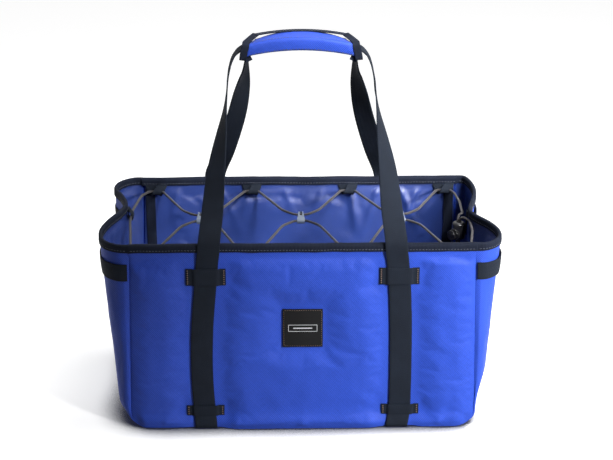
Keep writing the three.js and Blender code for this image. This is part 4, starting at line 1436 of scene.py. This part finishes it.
class BAG_OT_patch(bpy.types.Operator):
    """Add the leather patch, with its sewn border and a plain printed frame"""

    bl_idname = "bag.patch"
    bl_label = "Patch"

    def execute(self, context):
        deselect()
        bpy.ops.mesh.primitive_cube_add(size=1)
        patch = named("leather_label")
        bpy.ops.object.mode_set(mode="EDIT")
        bpy.ops.mesh.select_all(action="SELECT")
        bpy.ops.transform.resize(value=(46.5 * MM, 1.5 * MM, 47.5 * MM))
        bpy.ops.transform.translate(value=(0, -121.1 * MM, 127 * MM))
        bpy.ops.mesh.bevel(offset=0.45 * MM, segments=3)
        bpy.ops.object.mode_set(mode="OBJECT")
        bpy.ops.object.shade_smooth_by_angle(angle=math.radians(50))
        fit(patch, "bag", "leather", "leather", "leather_patch")
        face = -121.86 * MM
        runs = []
        w, h = 21.8 * MM, 22.3 * MM
        corners = [(-w, -h), (w, -h), (w, h), (-w, h), (-w, -h)]
        for (x0, z0), (x1, z1) in zip(corners, corners[1:]):
            t = np.linspace(0.01, 0.99, 20)
            line = np.stack([x0 + (x1 - x0) * t, 0 * t + face, 0.127 + z0 + (z1 - z0) * t], 1)
            runs.append((line, np.tile((0.0, -1.0, 0.0), (20, 1))))
        border = stitches("patch_stitches", runs, 1.7 * MM, 0.55 * MM, 2.6 * MM)
        fit(border, "bag", "leather", "tack")
        parts = []
        w, h = 16.5 * MM, 4.0 * MM
        edges = ((0, h, w, 0.3 * MM), (0, -h, w, 0.3 * MM), (-w, 0, 0.3 * MM, h), (w, 0, 0.3 * MM, h),
                 (0, 0, 11 * MM, 0.7 * MM))
        for x, z, wide, high in edges:
            deselect()
            bpy.ops.mesh.primitive_cube_add(size=1)
            part = named("label_frame")
            bpy.ops.object.mode_set(mode="EDIT")
            bpy.ops.mesh.select_all(action="SELECT")
            bpy.ops.transform.resize(value=(2 * wide, 0.12 * MM, 2 * high))
            bpy.ops.transform.translate(value=(x, face, 0.127 + z))
            bpy.ops.mesh.bevel(offset=0.04 * MM, segments=1)
            bpy.ops.object.mode_set(mode="OBJECT")
            parts.append(part)
        deselect()
        for part in parts:
            part.select_set(True)
        context.view_layer.objects.active = parts[0]
        bpy.ops.object.join()
        fit(parts[0], "bag", "leather", "print")
        return {"FINISHED"}


# ---------- cord, loops, hooks and lock ----------


def through_loop(x, side, way):
    return [(x + reach * way, side * LOOP_Y, LOOP_Z, 0.006) for reach in (-0.0085, 0.0085)]


def through_hook(x, y, z, side, way):
    return [(x - way * 0.022, y + side * 0.016, z, 0.03), (x - way * 0.007, y, z, 0.012),
            (x + way * 0.007, y, z, 0.012), (x + way * 0.022, y + side * 0.016, z, 0.03)]


def cord_route():
    """The cord's corners, from one tail in the lock, round the mouth, to the other."""
    route = [(0.1889, 0.0002, 0.182, 0), (0.1889, 0.0002, 0.2195, 0.006), (0.1965, 0.022, 0.215, 0.02),
             (0.197, 0.062, 0.215, 0.04), (0.194, 0.095, 0.2146, 0.012)]
    for loop, hook in zip(LOOP_XS[::-1], (*HOOK_XS[::-1], None)):
        route += through_loop(loop, 1, -1)
        route += through_hook(hook, 0.014, 0.217, 1, -1) if hook is not None else []
    route += [(-0.198, 0.093, LOOP_Z, 0.02), (-0.205, 0.042, LOOP_Z, 0.04),
              (-0.2054, 0.004, LOOP_Z, 0.04), (-0.198, -0.088, LOOP_Z, 0.02)]
    for loop, hook in zip(LOOP_XS, (*HOOK_XS, None)):
        route += through_loop(loop, -1, 1)
        route += through_hook(hook, 0.004, 0.213, -1, 1) if hook is not None else []
    return route + [
        (0.196, -0.084, 0.2146, 0.03), (0.202, -0.042, 0.2155, 0.03), (0.2015, -0.014, 0.218, 0.012),
        (0.1911, -0.0022, 0.22, 0.006), (0.1911, -0.0022, 0.182, 0),
    ]


class BAG_OT_cord(bpy.types.Operator):
    """Add the laced elastic cord and the knot in its tails"""

    bl_idname = "bag.cord"
    bl_label = "Cord"

    def execute(self, context):
        sizes = context.scene.bag_sizes
        line = arcs(cord_route())
        length = run_length(line)[-1]
        line = evenly(line, int(length / (1.5 * MM)))
        cord = tube("laced_cord", line, sizes.cord / 2, 12)
        fit(cord, "bag", "elastic_cord", "cord", "elastic_cord")
        t = np.linspace(0, 2 * math.pi, 90, endpoint=False)
        knot = np.stack([
            np.sin(t) + 2 * np.sin(2 * t), np.cos(t) - 2 * np.cos(2 * t), -np.sin(3 * t) * 1.9,
        ], 1) * MM + (0.190, -0.001, 0.1773)
        tie = tube("cord_tail_knot", knot, sizes.cord / 2 * 0.95, 12, closed=True)
        fit(tie, "bag", "elastic_cord", "cord", "cord_knot")
        return {"FINISHED"}


class BAG_OT_loops(bpy.types.Operator):
    """Add the webbing loops and tabs that carry the cord"""

    bl_idname = "bag.loops"
    bl_label = "Cord loops"

    def execute(self, context):
        for face in (FRONT, REAR):
            for i, x in enumerate(LOOP_XS):
                spread = 7.5 if abs(x) > 0.1 else 6.2
                rows = [(x - s * spread * MM, face * y * MM, z * MM, 0) for s, y, z in (
                    (1, 113.9, 223), (0.82, 113.2, 219), (0.5, 112.6, 214.5), (0.2, 111.6, 211.4),
                    (0, 109.3, 210.4),
                    (-0.2, 106.9, 211.6), (-0.5, 106.9, 214.8), (-0.82, 109.6, 218.2), (-1, 112.5, 220.8),
                    (-1.08, 113.3, 223),
                )]
                name = f"{FACE[face]}_cord_loop_{i + 1}"
                loop = ribbon(name + "_webbing", rows, (0, 1, 0), 12.5 * MM, 0.9 * MM, 0.9 * MM)
                fit(loop, "bag", "webbing", "webbing", name)
        rows = [(x * MM, 22 * MM, z * MM, 90) for x, z in (
            (-208.9, 224), (-208.6, 219), (-208.6, 213.5), (-206.9, 210.6), (-204, 210.7),
            (-202.6, 213.6), (-203.6, 217.2), (-206.6, 220.6), (-207.6, 224),
        )]
        tab = ribbon("left_cord_tab_webbing", rows, (0, 1, 0), 13 * MM, 0.9 * MM, 0.9 * MM)
        fit(tab, "bag", "webbing", "webbing", "left_cord_tab")
        rows = [(x * MM, -1 * MM, z * MM, 90) for x, z in (
            (199.6, 226), (199.4, 221), (199.2, 215), (199.0, 209), (198.9, 203), (198.8, 197),
        )]
        tab = ribbon("right_lock_tab_webbing", rows, (0, 1, 0), 10 * MM, 1.2 * MM, 1 * MM)
        fit(tab, "bag", "webbing", "webbing", "right_lock_tab")
        return {"FINISHED"}


def primitive(kind, name, place, turn=(0, 0, 0), **size):
    deselect()
    getattr(bpy.ops.mesh, f"primitive_{kind}_add")(location=place, rotation=turn, **size)
    obj = named(name)
    bpy.ops.object.transform_apply(location=True, rotation=True, scale=True)
    return obj


def combine(obj, tool, operation):
    apply_modifier(obj, "BOOLEAN", operation=operation, object=tool, solver="EXACT")
    bpy.data.objects.remove(tool)
    return obj


def soften(obj, width, segments=3, angle=35):
    apply_modifier(obj, "BEVEL", width=width, segments=segments, limit_method="ANGLE",
                   angle_limit=math.radians(angle), harden_normals=False)
    take(obj)
    bpy.ops.object.shade_smooth_by_angle(angle=math.radians(40))
    return obj


class BAG_OT_hooks(bpy.types.Operator):
    """Add the moulded hooks that join the two lacings"""

    bl_idname = "bag.hooks"
    bl_label = "Hooks"

    def execute(self, context):
        rear, front = Vector((0, 0.0145, 0.217)), Vector((0, 0.0035, 0.213))
        middle, along = (rear + front) / 2, rear - front
        turn = Matrix.Rotation(math.atan2(along.z, along.y), 4, "X")
        flat = (0, math.pi / 2, 0)
        for i, x in enumerate(HOOK_XS):
            shift = Vector((x, 0, 0))
            body = primitive("cylinder", f"cord_hook_{i + 1}_moulding", rear + shift, flat,
                             radius=3.6 * MM, depth=6.2 * MM, vertices=40)
            foot = primitive("cylinder", "foot", front + shift, flat,
                             radius=3.4 * MM, depth=9.2 * MM, vertices=40)
            combine(body, foot, "UNION")
            plate = primitive("cube", "plate", (0, 0, 0), size=1)
            points = coordinates(plate)
            points *= (np.where(points[:, 1:2] > 0, 6.2 * MM, 9.2 * MM) * (1, 0, 0)
                       + np.array((0, along.length, 6.2 * MM)))
            move_points(plate, points)
            plate.data.transform(Matrix.Translation(middle + shift) @ turn)
            combine(body, plate, "UNION")
            for eye in (rear, front):
                hole = primitive("cylinder", "eye", eye + shift, flat,
                                 radius=2.0 * MM, depth=20 * MM, vertices=32)
                combine(body, hole, "DIFFERENCE")
            slot = primitive("cube", "slot", (0, 0, 0), size=1)
            slot.data.transform(Matrix.Diagonal((3.2 * MM, 7.4 * MM, 14 * MM, 1)))
            slot.data.transform(Matrix.Translation(rear + shift - along.normalized() * 1.2 * MM) @ turn)
            soften(slot, 0.9 * MM, 3, 60)
            combine(body, slot, "DIFFERENCE")
            soften(body, 0.4 * MM)
            fit(body, "bag", "grey_plastic", "hook", f"cord_hook_{i + 1}")
        return {"FINISHED"}


class BAG_OT_lock(bpy.types.Operator):
    """Add the spring cord lock's housing and its button"""

    bl_idname = "bag.lock"
    bl_label = "Cord lock"

    def execute(self, context):
        turn = Matrix.Rotation(LOCK_TURN, 4, "Z")
        lay = (0, math.pi / 2, LOCK_TURN)

        def at(x, y=0.0, z=0.0):
            return LOCK + turn @ Vector((x * MM, y * MM, z * MM))

        def slot(reach):
            cutter = primitive("cube", "cutter", (0, 0, 0), size=1)
            cutter.data.transform(Matrix.Diagonal((reach * MM, 7 * MM, 44 * MM, 1)))
            cutter.data.transform(Matrix.Translation(LOCK) @ turn)
            return cutter

        body = primitive("cylinder", "cord_lock_housing", at(0, 0, 3),
                         radius=8 * MM, depth=22 * MM, vertices=64)
        soften(body, 3.4 * MM, 8, 60)
        collar = primitive("cylinder", "collar", at(-7.2), lay, radius=6.9 * MM, depth=4.5 * MM, vertices=48)
        soften(collar, 0.8 * MM, 3, 60)
        combine(body, collar, "UNION")
        bore = primitive("cylinder", "bore", at(-4.6), lay, radius=5 * MM, depth=22.8 * MM, vertices=40)
        combine(body, bore, "DIFFERENCE")
        combine(body, slot(3.6), "DIFFERENCE")
        soften(body, 0.3 * MM, 2, 50)
        fit(body, "bag", "black_plastic", "lock", "lock_housing")

        button = primitive("cylinder", "cord_lock_button", at(-5.05), lay, radius=4.7 * MM, depth=15.1 * MM,
                           vertices=48)
        flange = primitive("cylinder", "flange", at(-13.25), lay, radius=6 * MM, depth=1.7 * MM, vertices=48)
        soften(flange, 0.5 * MM, 3, 60)
        combine(button, flange, "UNION")
        groove = primitive("torus", "groove", at(-14.2), lay, major_radius=3.7 * MM, minor_radius=0.45 * MM,
                           major_segments=48, minor_segments=12)
        combine(button, groove, "DIFFERENCE")
        combine(button, slot(8.0), "DIFFERENCE")
        soften(button, 0.2 * MM, 2, 50)
        fit(button, "lock_button", "black_plastic", "lock", "lock_button")
        return {"FINISHED"}


# ---------- the grip ----------


def flap_share(across, up):
    """How long the flap is, as a share of its nominal length: its corners are cut back to the rear."""
    front = np.interp(up, [-9.4 * MM, 6.5 * MM], [1.05, 0.91])
    top = np.interp(across, [-14 * MM, 17 * MM], [0.91, 0.74])
    return np.where(across < -13.7 * MM, front, top)


def flat_points(points):
    """Lifts the grip's ends, so that its padding is flatter than the arch that it rides on."""
    lifted = np.array(points, float)
    lifted[:, 2] += 2.6 * MM * np.minimum(np.abs(lifted[:, 0]) / (65 * MM), 1.1) ** 2
    return lifted


def flatten(obj):
    return move_points(obj, flat_points(coordinates(obj)))


class BAG_OT_grip(bpy.types.Operator):
    """Add the padded grip: its wrap, its flap, the binding and the closure"""

    bl_idname = "bag.grip"
    bl_label = "Grip"

    def execute(self, context):
        sizes = context.scene.bag_sizes

        def plump(a, b, along, half):
            spot = np.column_stack([along, a, b])
            free = smooth((half - np.abs(along)) / (12 * MM))
            bulge = (0.7 + 0.6 * rumple(spot, 0.022, 5)) * MM * free
            outer_face = smooth((np.abs(a) - 14.5 * MM) / (2 * MM))
            outer_face = outer_face * (1 - ((b + 1 * MM) / (8 * MM)) ** 2).clip(0, 1)
            return a + np.sign(a) * bulge * outer_face, b

        wrap = swept("grip_padded_wrap", rounded(
            [(-13.2 * MM, -6.5 * MM), (17 * MM, -6.5 * MM), (17 * MM, 1.8 * MM), (13.2 * MM, 1.8 * MM),
             (13.2 * MM, -2.9 * MM), (-13.2 * MM, -2.9 * MM)],
            [1.4 * MM, 2.4 * MM, 1.4 * MM, 1.2 * MM, 0.8 * MM, 1.4 * MM]), 108 * MM, plump)
        flatten(wrap)
        fit(wrap, "rear_handle", "outer_fabric", "outer", "grip_wrap")
        flap = swept("grip_padded_flap", rounded(
            [(-17.4 * MM, -9.4 * MM), (-13.9 * MM, -9.4 * MM), (-13.7 * MM, 3.6 * MM), (17 * MM, 3.6 * MM),
             (17 * MM, 6.5 * MM), (-17.4 * MM, 6.5 * MM)],
            [1.6 * MM, 1.6 * MM, 0.8 * MM, 1.2 * MM, 1.2 * MM, 3.6 * MM]), 142 * MM, plump)
        points = coordinates(flap)
        radius = np.hypot(points[:, 0], points[:, 2] - GRIP_TOP + GRIP_RADIUS)
        points[:, 0] *= flap_share(points[:, 1], radius - GRIP_RADIUS)
        move_points(flap, points)
        flatten(flap)
        fit(flap, "grip_flap", "outer_fabric", "outer", "grip_flap")
        band = swept("grip_top_binding", rounded(
            [(9.5 * MM, 6.4 * MM), (17.6 * MM, 6.4 * MM), (17.6 * MM, 7.8 * MM), (9.5 * MM, 7.8 * MM)],
            [0.5 * MM] * 4, 0.5 * MM), 112 * MM, None, 0)
        self.ends(band, sizes)
        flatten(band)
        fit(band, "grip_flap", "binding_tape", "tape", "grip_binding")
        for name, node, top, body in (
            ("closure_hooks", "grip_hook_strip", 2.4, "rear_handle"),
            ("closure_loops", "grip_loop_strip", 3.3, "grip_flap"),
        ):
            strip = swept(name, rounded(
                [(13.6 * MM, (top - 0.6) * MM), (16.6 * MM, (top - 0.6) * MM), (16.6 * MM, top * MM),
                 (13.6 * MM, top * MM)], [0.15 * MM] * 4, 0.4 * MM), 104 * MM, None, 0)
            fit(strip, body, "hook_and_loop", "pile", node)
        runs = []
        for across, up, reach in ((-15.8, 6.5, 56), (-18.7, -6.9, 64), (10.4, 7.95, 50), (16.2, 7.95, 50)):
            angles = np.linspace(-reach, reach, 90) * MM / GRIP_RADIUS
            line = flat_points(arch(angles, across * MM, up * MM))
            slope = np.stack([np.sin(angles), 0 * angles, np.cos(angles)], 1)
            lean = -1.0 if across < -18 else -0.75 if across < 0 else 0.0
            runs.append((line, unit(np.array((0.0, lean, 0.0)) + slope * (across > -18))))
        rows = stitches("grip_stitches", runs)
        fit(rows, "grip_flap", "binding_tape", "thread")
        return {"FINISHED"}

    def ends(self, band, sizes):
        """Adds the binding folded over each cut end of the flap to the binding's own mesh."""
        path = np.array([(16.2, 7.2), (8, 7.3), (0, 7.3), (-9, 7.2), (-14.2, 6.8), (-17.6, 5),
                         (-18.8, 0), (-18.9, -5), (-18.2, -10.2), (-15.4, -11.2), (-13.2, -9.8)]) * MM
        reach = flap_share(path[:, 0], path[:, 1]) * 71 * MM - 2.4 * MM
        pieces = [band]
        for hand in (LEFT, RIGHT):
            rows = [(*arch(hand * s / GRIP_RADIUS, a, b), 0) for s, (a, b) in zip(reach, path)]
            pieces.append(ribbon("end_binding", rows, (0, 1, 0), 8.4 * MM, sizes.tape, 1.2 * MM))
        deselect()
        for piece in pieces:
            piece.select_set(True)
        bpy.context.view_layer.objects.active = band
        bpy.ops.object.join()


# ---------- the add-on ----------

PIECES = (
    BAG_OT_finishes, BAG_OT_cord, BAG_OT_panels, BAG_OT_base, BAG_OT_gussets, BAG_OT_tapes,
    BAG_OT_straps, BAG_OT_keepers, BAG_OT_patch, BAG_OT_loops, BAG_OT_hooks, BAG_OT_lock, BAG_OT_grip,
)


class BAG_PT_panel(bpy.types.Panel):
    """Sizes, colours and pieces of the basket bag"""

    bl_idname = "BAG_PT_panel"
    bl_label = "Basket bag"
    bl_space_type = "VIEW_3D"
    bl_region_type = "UI"
    bl_category = "Basket bag"

    def draw(self, context):
        for group in (context.scene.bag_sizes, context.scene.bag_colours):
            column = self.layout.column(align=True)
            for key in group.bl_rna.properties.keys():
                if key not in ("rna_type", "name"):
                    column.prop(group, key)
        for operator in (BAG_OT_stage, *PIECES):
            self.layout.operator(operator.bl_idname)


CLASSES = (BagSizes, BagColours, BAG_OT_stage, *PIECES, BAG_PT_panel)


def register():
    for cls in CLASSES:
        bpy.utils.register_class(cls)
    bpy.types.Scene.bag_sizes = PointerProperty(type=BagSizes)
    bpy.types.Scene.bag_colours = PointerProperty(type=BagColours)


def unregister():
    del bpy.types.Scene.bag_sizes
    del bpy.types.Scene.bag_colours
    for cls in reversed(CLASSES):
        bpy.utils.unregister_class(cls)


def main():
    register()
    bpy.ops.bag.stage()
    for piece in PIECES:
        name = piece.bl_idname.split(".")[1]
        getattr(bpy.ops.bag, name)()


if __name__ == "__main__":
    main()
